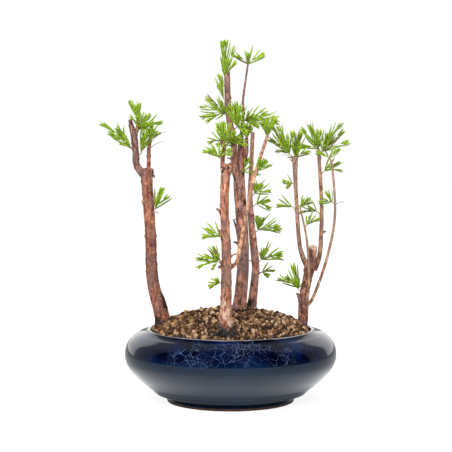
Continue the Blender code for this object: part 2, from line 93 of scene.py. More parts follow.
# Glaze, in metres: the heights where the navy shoulder and the lip's painted highlight of pale grey start and
# are full, the way to the front over which the crackle grows, and its sizes, as (cells per metre, width of
# their lines)
SHOULDER_BAND = (0.049, 0.056)
LIP_HIGHLIGHT_BAND = (0.0762, 0.0770)
CRACKLE_FRONT = (-0.080, -0.097, 0.20)
CRACKLES = ((118.0, 0.020), (270.0, 0.032))
CRACKLE_BEND = 0.012
CRACKLE_SHARE = 0.8
CRACKLE_BLUE = (0.135, 0.20, 0.36)
LIP_HIGHLIGHT_GREY = (0.18, 0.175, 0.18)
NAVY = ((0.40, (0.0006, 0.001, 0.006)), (0.52, (0.001, 0.003, 0.020)), (0.68, (0.0015, 0.008, 0.040)))
SLATE = ((0.35, (0.0005, 0.007, 0.020)), (0.65, (0.001, 0.013, 0.034)))

# Soil heap: the grains reach this surface, and the bed below them lies a little lower. The bed is fine soil
# painted near black, as painted shade in the gaps between the grains
SOIL_EDGE = 77.0
SOIL_PEAK = 96.0
SOIL_PEAK_AT = (4.0, 26.0)
SOIL_BANK = 0.33
SOIL_BROW = 8
SOIL_SLOPE = 1.3
SOIL_DIP = 0.8
SOIL_RADIUS = 82.6
SOIL_RINGS = 34
SOIL_SIDES = 110
LUMP_HEIGHT = 3.4
LUMP_APART = 8.0
LUMP_FADE = 12
BED_LOWERED = 4.4
BED_INSET = 0.6
BED_UNDERSIDE = ((SOIL_RADIUS, 70), (70, 64), (10, 64))
BED_SHADE_TONES = ((0.012, 0.008, 0.005), (0.06, 0.035, 0.018))

# Root flare of a trunk: how far it spreads, how much of that is lobed, over what height, in how many roots
FLARE = 0.32
FLARE_LOBE = 0.5
FLARE_HEIGHT = 6.0
ROOTS = 5

# Each trunk's route as (right, back, up, radius), from its flat cut at ground level to its tip
TRUNKS = {
    "trunk_left": (
        (-70, 3, 79, 6.6), (-74, 3, 99, 7.2), (-79, 3.2, 115, 6.2), (-82, 3.6, 136, 5.7),
        (-83, 4.2, 172, 5.3), (-86.6, 6, 227, 5.4), (-86.6, 6, 240.5, 6.4),
    ),
    "trunk_front": (
        (-5.3, -62, 77, 8.6), (-5.5, -62, 92, 6), (-4.5, -61, 123, 5.3), (-4.6, -59.5, 165, 4.6),
        (-6.3, -58, 205, 4.2), (-5.5, -57, 234, 4.5), (-3.3, -56, 249, 4.2),
    ),
    "trunk_middle": (
        (9.4, 20, 92, 6.4), (10.8, 20, 108, 6.7), (12.8, 20, 135, 6.3), (13, 19, 165, 5.9),
        (10.2, 17, 208, 6.2), (8.9, 16, 229, 5.8), (10.5, 16, 250, 4.2), (10.8, 16, 275, 2.6),
    ),
    "trunk_back": (
        (21.7, 38, 89.5, 4.8), (23.6, 38, 102, 4.6), (26.4, 37, 134, 4.1), (24.5, 36, 157, 4),
        (20.6, 31, 201, 3), (21.2, 28, 230, 2.4), (23, 24, 278, 1.9),
    ),
    "trunk_right": (
        (75, 8, 78, 3.6), (75.6, 8, 88, 5.2), (76.6, 7.6, 108, 5.3), (79.5, 7, 125, 4.8),
        (82, 7, 136, 5.6), (85, 7, 144, 7.2),
    ),
}

# Each bough's route, from inside the limb it grows from to its tip
BOUGHS = {
    "bough_left_a": (
        (-89, 6, 233, 4.2), (-97, 4.5, 245, 3.7), (-98, 1, 260, 3.5), (-99.2, -2.5, 273, 3.6),
        (-103.2, -7, 292, 2),
    ),
    "bough_left_a_fork": (
        (-98.8, -3, 276, 2.5), (-95.6, -3.2, 284, 2.1), (-94.8, -2, 292, 1.7),
    ),
    "bough_left_b": (
        (-85.6, 7, 236, 2.6), (-84.8, 10, 247, 2.1), (-84.9, 13, 260, 2), (-83.7, 16, 271, 2),
    ),
    "bough_front_a": (
        (-5.8, -56.5, 240, 2.6), (-8.3, -55, 249, 2.2), (-7.4, -53, 261, 1.9), (-8, -52, 272, 1.8),
    ),
    "bough_front_b": (
        (-3, -60, 143, 2.2), (5.8, -57, 150.8, 2), (9, -53, 165, 1.9), (20.6, -34, 222, 1.8),
        (27.8, -24, 247, 1.8), (37.7, -12, 276, 1.6),
    ),
    "bough_leader": (
        (8.7, 14, 226, 4), (3.8, 8.5, 242, 3.6), (3.6, 6.5, 258, 3.4), (2.6, 6, 272, 3.3),
        (-1.8, 5, 294, 3.2), (-3.2, 4, 318, 3.1), (-3.6, 4, 341, 2.9),
    ),
    "bough_middle_right": (
        (11, 14.5, 240, 2.6), (16, 12, 257, 2.3), (16.4, 11, 272.5, 2),
    ),
    "bough_middle_tall": (
        (10.8, 16, 273, 1.6), (12.9, 19, 297, 1.5), (13.1, 20, 314, 1.2), (18, 22, 349, 0.9),
    ),
    "bough_right_stub": (
        (83.5, 5, 139, 3.4), (84.8, 4.5, 150, 3.3), (85.6, 4.5, 160, 3.4),
    ),
    "bough_right_a": (
        (80.5, 6, 138, 3.2), (74.6, 3.5, 150.5, 2.6), (70.8, 1.5, 167.4, 2.2), (67.6, -3, 212, 2),
        (66.3, -5, 240, 2.4), (66.1, -6, 254, 3.3),
    ),
    "bough_right_b": (
        (87, 9, 135, 3), (92.4, 12, 149, 2.5), (94.3, 13, 172, 2.2), (94.6, 14, 206, 2),
        (91.3, 16, 261, 1.8),
    ),
    "twig_right_near": (
        (78, 5, 100, 1.8), (80.4, -3, 113.6, 1.6), (80.9, -4.5, 139, 1.4), (78, -6.5, 172, 1.2),
        (71.3, -9, 202.5, 0.9),
    ),
    "twig_right_far": (
        (78, 7.4, 97, 1.9), (86, 8, 107, 1.7), (100, 5, 148, 1.5), (107.8, 1, 192, 1.3),
        (105, -3, 240, 1.1), (102.2, -4, 252.7, 1),
    ),
}
ROUTES = {**TRUNKS, **BOUGHS}

# Each mass of foliage: its limb, the height where its stem leaves, the stem as (swing, length), and its
# shoots as (swing, rise, reach). Swing is degrees from the right towards the back, rise is degrees above
# level, and reach is from the stem's end to the furthest needle. A stem with no swing follows a limb's tip.
TIP = 999
MASSES = {
    "foliage_left_sweep": ("bough_left_a", 259, (185, 2), ((183, 44, 42), (215, 24, 16), (150, 62, 17))),
    "foliage_left_top": ("bough_left_a_fork", TIP, (None, 2), ((190, 68, 21), (80, 87, 16), (250, 60, 15))),
    "foliage_left_crown": ("bough_left_a_fork", 279, (330, 3), (
        (190, 84, 27), (350, 60, 20), (15, 24, 27), (335, 2, 17), (320, -40, 14), (70, 40, 19),
        (275, 30, 17))),
    "foliage_left_inner": ("bough_left_a", 253, (350, 2), ((60, 84, 18), (350, 62, 31), (330, 70, 24))),
    "foliage_left_back": ("bough_left_b", TIP, (None, 2), (
        (50, 84, 19), (90, 35, 16), (20, 30, 13), (280, 40, 13))),
    "foliage_left_low": ("trunk_left", 195, (350, 2), ((20, 72, 24), (345, 48, 23))),
    "foliage_tall_low": ("bough_middle_tall", 288, (320, 3), (
        (348, -2, 37), (335, -20, 19), (10, 45, 12), (20, 14, 17), (335, 30, 15))),
    "foliage_leader_top": ("bough_leader", TIP, (None, 2), (
        (90, 89, 32), (10, 71, 27), (190, 80, 31), (340, 50, 14), (90, 50, 18), (275, 48, 17))),
    "foliage_leader_upper": ("bough_leader", 310, (190, 2), ((185, 77, 27), (120, 64, 18))),
    "foliage_leader_left": ("bough_leader", 293, (190, 2), (
        (175, 46, 27), (190, 26, 28), (170, -4, 26), (205, -16, 24), (130, 68, 15), (265, 34, 17))),
    "foliage_leader_right": ("bough_leader", 279, (330, 5), (
        (200, 72, 26), (95, 84, 27), (350, 80, 24), (218, 56, 25), (60, 50, 18))),
    "foliage_leader_low": ("bough_leader", 263, (215, 3), (
        (190, -4, 15), (205, -36, 14), (170, 58, 17), (215, 28, 15), (280, -16, 13), (285, 45, 13))),
    "foliage_front_top": ("bough_front_a", TIP, (None, 1.5), (
        (185, 76, 19), (80, 88, 19), (5, 70, 20), (190, -2, 16), (270, 40, 14), (85, 36, 15))),
    "foliage_front_side": ("bough_front_a", 252, (190, 2), ((175, 30, 19), (195, 50, 16))),
    "foliage_middle_tip": ("bough_middle_right", TIP, (None, 1.5), (
        (10, 72, 18), (150, 80, 15), (60, 40, 16))),
    "foliage_long_tip": ("bough_front_b", TIP, (None, 1.5), (
        (180, 60, 15), (20, 66, 22), (90, 50, 17), (275, 44, 16))),
    "foliage_tall_tip": ("bough_middle_tall", TIP, (None, 1.5), (
        (175, 34, 19), (5, 34, 20), (90, 55, 13), (270, 50, 12))),
    "foliage_long_node": ("bough_front_b", 237, (350, 2), (
        (20, 60, 15), (355, 36, 16), (285, 62, 15))),
    "foliage_middle_node": ("trunk_middle", 231, (290, 3), ((352, 2, 20), (350, 62, 18))),
    "foliage_front_mid": ("trunk_front", 171, (190, 2), ((175, 33, 18), (190, 12, 20))),
    "foliage_front_low": ("trunk_front", 145, (185, 5), (
        (182, -6, 23), (182, 16, 24), (190, 34, 19), (150, 68, 17), (215, -28, 12), (255, 40, 15))),
    "foliage_front_foot": ("trunk_front", 124, (190, 2), ((190, -14, 13), (215, 22, 10))),
    "foliage_back_high": ("trunk_back", 209, (20, 3), ((5, 16, 19), (15, 52, 14), (80, 40, 16))),
    "foliage_back_upper": ("trunk_back", 197, (350, 4), ((5, 20, 16), (350, -4, 18))),
    "foliage_back_mid": ("trunk_back", 170, (350, 3), (
        (5, 14, 26), (350, 2, 26), (25, 64, 16), (150, 78, 16), (80, 20, 17))),
    "foliage_back_low": ("trunk_back", 138, (0, 3), ((0, 24, 25), (350, 12, 25), (20, 70, 13), (80, 25, 17))),
    "foliage_back_foot": ("trunk_back", 124, (10, 4), ((5, 18, 15), (350, -30, 10))),
    "foliage_right_a_left": ("bough_right_a", 252, (190, 5), (
        (180, 58, 34), (200, 68, 34), (175, 42, 27), (215, 20, 19), (120, 40, 22), (262, 34, 20))),
    "foliage_right_a_top": ("bough_right_a", TIP, (None, 2), (
        (170, 84, 27), (10, 76, 26), (350, 22, 16), (90, 55, 16), (280, 45, 17))),
    "foliage_right_b_top": ("bough_right_b", TIP, (None, 2), (
        (190, 8, 21), (175, 52, 29), (200, 72, 27), (10, 84, 20), (90, 50, 20), (268, 42, 18))),
    "foliage_right_b_right": ("bough_right_b", 255, (0, 3), (
        (5, 58, 38), (348, 46, 33), (12, 24, 31), (70, 40, 20), (285, 36, 19))),
    "foliage_far_tip": ("twig_right_far", TIP, (None, 1.5), ((190, 20, 16), (0, 45, 14))),
    "foliage_right_b_mid": ("bough_right_b", 234, (0, 3), ((355, 36, 21), (10, 4, 20))),
    "foliage_right_a_mid": ("bough_right_a", 224, (190, 2), ((185, 18, 11), (200, -30, 9))),
    "foliage_far_mid": ("twig_right_far", 205, (190, 2), ((185, 55, 15), (190, 8, 15))),
    "foliage_right_a_low": ("bough_right_a", 197, (190, 3), ((185, 12, 18), )),
    "foliage_near_tip": ("twig_right_near", TIP, (None, 1.5), ((5, 42, 14), (10, 16, 14))),
    "foliage_right_b_low": ("bough_right_b", 191, (185, 4), ((190, 4, 22), (200, 30, 13))),
    "foliage_near_mid": ("twig_right_near", 181, (350, 2), ((20, 74, 11), (355, 30, 16))),
    "foliage_right_foot": ("trunk_right", 111, (190, 3), (
        (180, 30, 25), (170, 54, 21), (185, 78, 28), (215, 60, 14), (275, 30, 17), (100, 40, 17))),
}

# Grains of fired clay: their shapes, how many to a square metre at most, their least and greatest size, their
# finishes as (name, dark, light), and their layers as (name, depth of bed, apart, size, seed)
GRAIN_KINDS = 9
GRAIN_CORNERS = 18
GRAIN_DENSITY = 400000.0
GRAIN_SCALES = (0.5, 1.4)
GRAIN_TINTS = (
    ("grain_tan", (0.15, 0.072, 0.030), (0.42, 0.235, 0.120)),
    ("grain_ochre", (0.19, 0.098, 0.042), (0.45, 0.26, 0.130)),
    ("grain_brown", (0.070, 0.034, 0.017), (0.19, 0.098, 0.050)),
    ("grain_umber", (0.050, 0.022, 0.011), (0.15, 0.072, 0.036)),
    ("grain_pale", (0.27, 0.160, 0.085), (0.66, 0.44, 0.27)),
    ("grain_dark", (0.016, 0.011, 0.008), (0.060, 0.038, 0.024)),
)
GRAIN_LAYERS = (
    ("grains_under", 3.8, 3.9, 5.7, 4),
    ("grains_over", 2.2, 4.9, 6.3, 9),
)

# Finishes of the needles, and those of each tree's sprays, as numbers of these, for needles that lie in the
# light,
# at the side and in the shade: lighter and darker tints that paint light and shade onto the needles
NEEDLE_TINTS = (
    ("needle_spring", (0.28, 0.41, 0.035), (0.37, 0.49, 0.055)),
    ("needle_lime", (0.235, 0.375, 0.02), (0.30, 0.43, 0.03)),
    ("needle_green", (0.19, 0.325, 0.012), (0.245, 0.385, 0.02)),
    ("needle_leaf", (0.125, 0.225, 0.012), (0.17, 0.28, 0.022)),
    ("needle_olive", (0.12, 0.165, 0.018), (0.17, 0.215, 0.035)),
    ("needle_dry", (0.085, 0.070, 0.035), (0.20, 0.150, 0.080)),
)
SPRAY_TINTS = {
    "left": ((1, 1, 2), (0, 1, 2), (1, 2, 3), (2, 2, 3), (1, 1, 3)),
    "front": ((0, 1, 2), (1, 2, 3), (0, 0, 1), (1, 1, 2)),
    "middle": ((1, 1, 2), (0, 1, 2), (0, 1, 2), (1, 1, 3), (1, 2, 3)),
    "back": ((1, 1, 2), (1, 2, 3), (2, 2, 3)),
    "right": ((1, 1, 4), (1, 2, 3), (1, 2, 2), (0, 1, 4), (1, 2, 4)),
}
# Painted light: a needle that faces this way gets its spray's light tint, and one that faces away gets its
# shade tint
LIGHT_FROM = (-0.3, -0.5, 0.8)
LIGHT_VARIES = 0.12
BRIGHT = 0.45
DIM = -0.25
DRY_SHARE = {"left": 0.02, "front": 0.01, "middle": 0.02, "back": 0.01, "right": 0.06}
NEEDLES_A_PIECE = 6800

# What the mesh tells the bark's finish, the places of its four tones, and what lies over them
BARK_LAYERS = ("foot", "dark", "pale", "shade", "ash")
BARK_STOPS = (0.415, 0.475, 0.525, 0.58)
SOOT = ((0.38, (0.008, 0.008, 0.009)), (0.56, (0.035, 0.031, 0.032)), (0.68, (0.15, 0.12, 0.115)))
STAIN = (0.028, 0.018, 0.016)
BARE_WOOD = (0.53, 0.38, 0.28)

# How high the sooty foot of each trunk reaches
FOOT_HEIGHT = {
    "trunk_left": 13.0, "trunk_front": 33.0, "trunk_middle": 6.0, "trunk_back": 9.0, "trunk_right": 5.0,
}

# Barks as (deep, middle, light, grey) and how grey they are, and the limbs whose bark isn't the common one
BARKS = {
    "ruddy": ((0.065, 0.020, 0.012), (0.235, 0.080, 0.042), (0.42, 0.185, 0.112), (0.24, 0.145, 0.125), 0.75),
    "russet": ((0.050, 0.015, 0.009), (0.185, 0.060, 0.033), (0.30, 0.125, 0.078), (0.17, 0.10, 0.092), 0.7),
    "dusky": ((0.028, 0.012, 0.010), (0.150, 0.058, 0.038), (0.35, 0.17, 0.12), (0.20, 0.125, 0.125), 0.8),
    "tawny": ((0.105, 0.042, 0.024), (0.27, 0.120, 0.066), (0.43, 0.24, 0.145), (0.29, 0.19, 0.155), 0.7),
}
COMMON_BARK = "dusky"
LIMB_BARKS = {
    "trunk_front": "ruddy", "bough_middle_right": "ruddy", "trunk_left": "russet", "bough_left_b": "russet",
    "bough_front_a": "russet", "bough_front_b": "tawny", "bough_right_a": "tawny", "bough_right_b": "tawny",
    "twig_right_near": "tawny", "twig_right_far": "tawny",
}

# How light and how ashen the bark is, as (height, light, ash). The light is partly the bark's own tone along
# the limb and partly painted light: the back trunk, which stands in shade, is painted much lighter
SHADES = {
    "trunk_front": (
        (77, 0.9, 0), (98, 1.25, 0), (116, 1.0, 0.1), (130, 0.85, 0.5), (150, 0.88, 0.4), (180, 0.92, 0.1),
        (212, 1.25, 0), (240, 1.1, 0.1), (249, 0.95, 0.3),
    ),
    "trunk_left": (
        (79, 1.1, 0), (100, 1.1, 0.2), (125, 1.0, 0.6), (150, 1.0, 0.25), (200, 1.12, 0), (240, 1.2, 0),
    ),
    "trunk_middle": (
        (92, 1.25, 0.1), (115, 1.15, 0.1), (140, 1.0, 0.7), (165, 1.1, 0.2), (210, 1.25, 0), (235, 1.4, 0.1),
        (262, 1.0, 0), (275, 0.6, 0),
    ),
    "trunk_back": ((89, 0.9, 0.2), (110, 1.5, 0.2), (160, 1.8, 0), (230, 1.9, 0), (278, 2.3, 0.3)),
    "trunk_right": ((78, 0.9, 0), (95, 0.85, 0), (115, 0.85, 0.3), (144, 0.9, 0)),
    "bough_left_a": ((233, 0.9, 0.3), (262, 0.9, 0.6), (292, 0.75, 0.5)),
    "bough_left_b": ((236, 1.2, 0), (271, 1.3, 0.1)),
    "bough_front_a": ((240, 1.2, 0), (272, 1.0, 0.2)),
    "bough_front_b": ((143, 1.15, 0), (200, 1.3, 0), (245, 1.2, 0), (276, 0.95, 0)),
    "bough_leader": ((226, 1.3, 0), (255, 1.1, 0), (275, 0.9, 0.2), (300, 1.05, 0.6), (341, 0.95, 0.6)),
    "bough_middle_tall": ((273, 0.35, 0), (292, 0.6, 0.2), (310, 1.0, 0.4), (349, 1.1, 0.5)),
    "bough_right_stub": ((139, 0.85, 0.2), (160, 1.0, 0)),
    "twig_right_near": ((100, 0.9, 0.3), (202, 1.0, 0.5)),
    "twig_right_far": ((97, 0.9, 0.3), (160, 0.95, 0.5), (253, 1.0, 0.6)),
    "bough_right_a": ((138, 0.72, 0.2), (175, 0.9, 0.4), (254, 0.95, 0.5)),
    "bough_right_b": ((135, 0.72, 0.2), (180, 0.9, 0.4), (261, 0.95, 0.5)),
}

# A cut tip: its rings as (share of the radius, rise), how pale its rim and its heart are where they are worn,
# and how pale its rim is where it is fresh
CUT_RINGS = ((0.94, 0.35), (0.8, 0.25), (0.55, -0.3), (0.25, -0.4))
WORN_CUT = (0.55, 0.3)
FRESH_CUT = {"bough_right_stub": 0.95, "bough_right_a": 0.7, "trunk_left": 0.35, "trunk_front": 0.4}
# How steeply the cut tip of a limb slopes to the front, and over what height its bark gives way to that
CUT_SLOPES = {"bough_right_stub": 0.32, "trunk_left": 0.12}
CUT_BLEND = 6.0
# How much thicker than its core the bark of a limb is, in millimetres
THICKER = {"trunk_left": 0.45, "bough_right_stub": 0.9, "bough_left_a": -0.1, "trunk_front": 0.2}

# Light: how bright the studio and the paper are, how strongly the paper glows for its painted reflection in
# the glaze, that glow by metres from the bowl's middle, the room that the glaze shows from front to back, and
# the lamps as (name, place, size, power)
WORLD_STRENGTH = 0.46
FLOOR_HALF = 6000
FLOOR_GLOW = 0.83
FLOOR_REFLECTION_STRENGTH = 1.3
FLOOR_REFLECTION_GLOW = ((0.078, 0.02), (0.100, 1.0), (0.130, 0.80), (0.175, 0.26), (0.24, 0.10), (0.60, 0.03))
ROOM = (
    (0.525, (0.010, 0.012, 0.018)), (0.552, (0.24, 0.26, 0.29)), (0.80, (0.42, 0.44, 0.47)),
    (0.835, (1.5, 1.5, 1.5)),
)
LAMPS = (
    ("lamp_left", (-0.75, -1.8, 1.0), 1.3, 38),
    ("lamp_right", (1.0, -1.5, 0.8), 1.2, 15),
    ("lamp_top", (0.0, 0.2, 1.9), 1.5, 31),
)
LAMPS_AIM = (0, 0, 0.17)
LAMP_COLOUR = (1.0, 0.985, 0.96)

# Relief of the bark, in millimetres, and how fine its noise is across and along a limb
TRUNK_SIDES = 56
BOUGH_SIDES = 26
TWIG_SIDES = 16
TWIG_RADIUS = 1.6  # a limb that is nowhere thicker is a twig
RING_SPACING = 0.9
RELIEF_RADIUS = 5.0  # thinner limbs have shallower relief
FISSURE_DEPTH = 0.34
FISSURE_LEVEL = 0.12
FISSURE_GRAIN = (0.85, 0.85, 0.10)
FIBRE_DEPTH = 0.14
FIBRE_GRAIN = (2.4, 2.4, 0.22)
SWELL = 0.22
SWELL_GRAIN = 0.16
NOISE_STEP = 37.7  # moves the noise from limb to limb, within a span
NOISE_SPAN = 97

# Marks on the bark, as (kind, height, swing, width). A knob stands out most, then a bud. A scar is a pale
# ring left by a shed twig, a peel is a patch of bare wood, and a stain is dark and flat. A ring is a raised
# collar, a crack a dark line of painted shade, as in a crease, with no groove in the mesh, and a cap a pale
# end, all three right round the limb.
ALL_ROUND = ("ring", "crack", "cap")
MARK_REACH = 2.6  # in widths of the mark
CRACK_REACH = 4
MARK_TONES = {  # how far each kind lifts, darkens and pales the bark
    "knob": (0.42, 0.72, 0.62), "bud": (0.55, 0.6, 0.0), "scar": (0.14, 0.6, 0.8), "peel": (0.25, 0.0, 0.62),
    "stain": (0.0, 1.0, 0.0), "ring": (0.35, 0.0, 0.0), "crack": (0.0, 0.75, 0.0), "cap": (0.0, 0.0, 1.0),
}
MARKS = {
    "trunk_left": (
        ("knob", 236.5, 345, 3.0), ("bud", 205.6, 180, 1.7), ("bud", 205, 0, 1.7), ("bud", 170.3, 185, 1.6),
        ("bud", 171, 350, 2.0), ("bud", 142, 0, 1.6), ("scar", 185, 260, 2.6), ("stain", 99, 335, 9),
        ("scar", 222, 285, 1.8), ("bud", 128, 255, 1.4), ("knob", 228, 190, 2.2), ("stain", 107, 345, 6),
        ("stain", 86, 235, 6), ("crack", 146, 0, 0.5), ("crack", 133, 60, 0.5), ("crack", 124, 120, 0.5),
        ("bud", 192, 200, 1.2), ("bud", 152, 10, 1.3), ("bud", 215, 182, 1.4), ("bud", 135, 188, 1.3),
    ),
    "trunk_front": (
        ("scar", 117, 268, 2.6), ("scar", 155, 290, 2.2), ("knob", 176, 195, 3.0), ("knob", 182, 190, 2.4),
        ("bud", 147, 350, 2.8), ("knob", 146, 186, 3.0), ("knob", 201, 185, 2.8), ("knob", 243, 200, 3.2),
        ("ring", 243, 270, 1.5), ("stain", 246, 300, 1.8),
        ("knob", 245, 265, 2.0), ("stain", 239, 295, 1.2), ("crack", 240, 20, 0.5), ("knob", 241, 345, 2.6),
        ("stain", 172, 190, 4),
        ("bud", 133, 250, 1.4), ("bud", 219, 300, 1.3), ("scar", 104, 300, 2.0), ("peel", 98, 285, 14),
        ("peel", 106, 245, 10), ("peel", 92, 330, 9), ("ring", 131, 270, 1.6),
        ("crack", 129, 0, 0.5), ("crack", 112, 80, 0.5), ("bud", 226, 185, 1.3), ("bud", 190, 350, 1.4),
        ("bud", 138, 300, 1.4), ("bud", 165, 345, 1.5), ("bud", 115, 190, 1.4),
    ),
    "trunk_middle": (
        ("knob", 198.3, 225, 2.8), ("scar", 117.4, 235, 2.6), ("knob", 163, 205, 2.6),
        ("knob", 236, 235, 3.2), ("stain", 205, 325, 5), ("stain", 237, 205, 5), ("knob", 147, 240, 2.6),
        ("crack", 150, 40, 0.6), ("bud", 140, 280, 1.5), ("scar", 152, 300, 1.8), ("stain", 236, 330, 4),
    ),
    "trunk_back": (
        ("stain", 97, 222, 8), ("bud", 150, 300, 1.4), ("bud", 190, 340, 1.3), ("scar", 128, 260, 1.8),
        ("bud", 226, 330, 1.1),
    ),
    "trunk_right": (
        ("knob", 104, 188, 3.0), ("bud", 118, 240, 1.8), ("scar", 128, 285, 2.0), ("knob", 141, 350, 2.6),
        ("knob", 134, 195, 2.2), ("stain", 131, 280, 3), ("stain", 123, 238, 1.6),
        ("crack", 127, 0, 0.45), ("crack", 122.5, 90, 0.45), ("crack", 118.5, 180, 0.45),
        ("crack", 110, 20, 0.4),
    ),
    "bough_left_a": (
        ("knob", 252, 20, 2.0), ("bud", 262, 190, 1.3), ("knob", 276, 350, 2.2), ("bud", 243, 200, 1.5),
        ("knob", 286, 200, 1.7), ("knob", 283, 330, 1.8), ("knob", 268, 185, 1.6), ("stain", 289, 280, 2.2),
        ("stain", 272, 230, 2.0), ("crack", 264, 0, 0.5), ("crack", 250, 60, 0.5), ("stain", 258, 330, 2.0),
    ),
    "bough_left_b": (("bud", 254, 190, 1.3), ("bud", 254, 10, 1.2)),
    "bough_front_a": (("knob", 271, 200, 1.8), ("bud", 258, 0, 1.1), ("bud", 246, 185, 1.4)),
    "bough_front_b": (
        ("knob", 239.4, 20, 1.6), ("bud", 258, 190, 0.9), ("bud", 200, 10, 0.9), ("bud", 162, 200, 1.2),
    ),
    "bough_leader": (
        ("knob", 338, 250, 2.2), ("peel", 337, 215, 3), ("bud", 314, 0, 1.6),
        ("knob", 240, 200, 2.8), ("stain", 233, 200, 5), ("knob", 258, 250, 2.2), ("bud", 300, 240, 1.4),
        ("bud", 327, 200, 1.2),
        ("knob", 281, 10, 1.8), ("bud", 335, 330, 1.2),
    ),
    "bough_middle_tall": (
        ("knob", 298.3, 0, 2.2), ("knob", 292, 215, 1.8), ("knob", 286, 320, 1.8), ("bud", 322, 190, 0.7),
    ),
    "bough_right_stub": (("cap", 160.5, 0, 2.8), ("knob", 148, 20, 1.8)),
    "bough_right_a": (
        ("bud", 252, 185, 1.2), ("bud", 226, 10, 1.0), ("bud", 199, 180, 1.3), ("bud", 246, 0, 1.1),
    ),
    "bough_right_b": (
        ("knob", 252, 350, 1.7), ("bud", 175.1, 0, 1.6), ("bud", 191, 190, 1.4), ("bud", 236, 0, 1.0),
    ),
}

# Short dead twigs, cut stubs and dry needles on the limbs, as (limb, height, swing, rise, length, radius)
STUB_SIDES = 12
STUB_STEP = 0.8
STUB_START = 0.7  # out from the limb's middle, as a share of its radius
STUB_BEND = 0.12
STUB_WAVER = 0.25
STUB_ROUGH = 0.16
STUB_TAPER = (1.3, 0.35)
TWIG_TAPER = (1.25, 0.75)
TWIG_FROM = 10  # a longer stub tapers as a twig
STUBS = (
    ("trunk_front", 199, 185, 50, 8, 1.3), ("trunk_front", 201, 180, 80, 8, 1.0),
    ("trunk_front", 174, 188, 75, 10, 1.7), ("trunk_front", 245, 345, 80, 5, 1.9),
    ("trunk_front", 147, 355, 20, 10, 1.1), ("trunk_front", 144, 190, 62, 22, 1.0),
    ("trunk_front", 155, 0, 35, 8, 0.9), ("trunk_front", 146, 184, 5, 5, 1.5),
    ("trunk_middle", 164, 200, 74, 25, 1.5), ("trunk_middle", 160, 190, 30, 7, 1.2),
    ("trunk_right", 103, 186, 68, 9, 1.6), ("bough_right_a", 252, 186, 10, 6, 0.5),
    ("bough_right_a", 249, 200, 30, 5, 0.45), ("bough_right_b", 174, 5, 25, 4, 0.9),
    ("trunk_left", 205.6, 180, 20, 3.6, 1.0), ("trunk_left", 233, 355, 12, 4.5, 1.8),
    ("trunk_left", 170.5, 188, 12, 3.2, 0.9), ("trunk_left", 171, 352, 15, 3.0, 0.9),
    ("trunk_left", 142, 355, 0, 2.4, 0.7), ("trunk_left", 130, 350, 0, 2.4, 0.8),
    ("trunk_left", 196, 5, -6, 7, 0.45),
    ("trunk_back", 141, 200, 12, 5, 0.6), ("bough_leader", 250, 190, 25, 5, 0.8),
    ("trunk_middle", 186, 190, 15, 4, 0.6), ("trunk_right", 122, 5, 30, 3, 0.8),
    ("trunk_middle", 198, 225, 30, 4.5, 1.2), ("trunk_middle", 236, 230, 35, 6, 1.3),
    ("bough_leader", 335, 190, 76, 22, 0.25), ("bough_leader", 333, 200, 66, 12, 0.25),
    ("bough_front_b", 276, 195, 58, 17, 0.25), ("bough_middle_tall", 292, 200, 55, 8, 0.5),
    ("bough_left_a", 262, 190, 25, 4, 0.8), ("trunk_back", 128, 350, 15, 6, 0.5),
    ("twig_right_far", 204, 355, 14, 9, 0.25), ("bough_left_b", 268, 350, 34, 20, 0.25),
    ("bough_left_b", 262, 355, 22, 17, 0.25), ("bough_right_a", 253, 172, 8, 15, 0.22),
    ("bough_right_a", 253, 5, 6, 16, 0.22), ("bough_right_b", 258, 10, 20, 18, 0.22),
)

# Fine roots round the front trunk's foot
ROOT_COUNT = 150
ROOT_STEPS = 8
ROOT_SIDES = 5
ROOT_START = 6.0
ROOT_LENGTHS = (3.0, 12.0)
ROOT_RADII = (0.3, 0.75)
ROOT_CURL = 1.4
ROOT_RISE = 9.0
ROOT_SUNK = 0.6
ROOT_WAVER = 1.4

# Needles: two ranks along each shoot, shorter towards both ends, raked further forward at the tip
NEEDLE = 11.5
NEEDLE_OF_REACH = 0.5
NEEDLE_BEYOND = 0.85  # how much of a needle reaches past its shoot's end
NEEDLE_BENDS = ((0.5, 0.0), (1.0, 0.35), (-0.3, -0.3))  # (bow, twist) of each shape
NEEDLE_OUTLINE = ((0.0, 0.35), (0.14, 0.86), (0.5, 1.0), (0.82, 0.7))  # (place along it, width)
NEEDLE_KEEL = 0.20
NEEDLE_START = 0.2  # out from the shoot's middle
NEEDLE_LENGTHS = (0.7, 1.05)
NEEDLE_SHORTEST = 0.6
TIP_LENGTHS = (0.68, 0.84)
TIP_SPREADS = (-14, 6)
BLADE = 2.05  # a grown needle's greatest length, against the length the reach allows for
UPRIGHT_BLADE = 0.75  # what is added to it on an upright shoot
BARE_FOOT = 3.5
BARE_FOOT_FINE = 1.2
SOURCE_SPACING = 4.2
PAIR_SPACING = 8.2
RAKE_FOOT = 26
RAKE_TIP = 9
RAKE_UPRIGHT = 0.65  # how much less it is on an upright shoot
RAKE_VARIES = 6
TILT = 8
TILT_VARIES = 16
ARCH = 0.10
DEPTH = 0.45
DEPTH_UPRIGHT = 0.2
STEM_RISE = 40
STEM_RADIUS = 0.75
STEM_SUNK = 1.2
STEM_PAST = 0.4
SHOOT_RADIUS = 0.42
SHOOT_TAPER = 0.6
STEM_MESH = (3, 7)  # steps and sides
SHOOT_MESH = (12, 6)
FORK_MESH = (8, 5)
NEEDLE_WIDTH = 1.85
CLEAR = 0.35  # kept between a needle's tip and the limbs
OUTSIDE_BARK = 20  # farther from a limb's middle than any bark

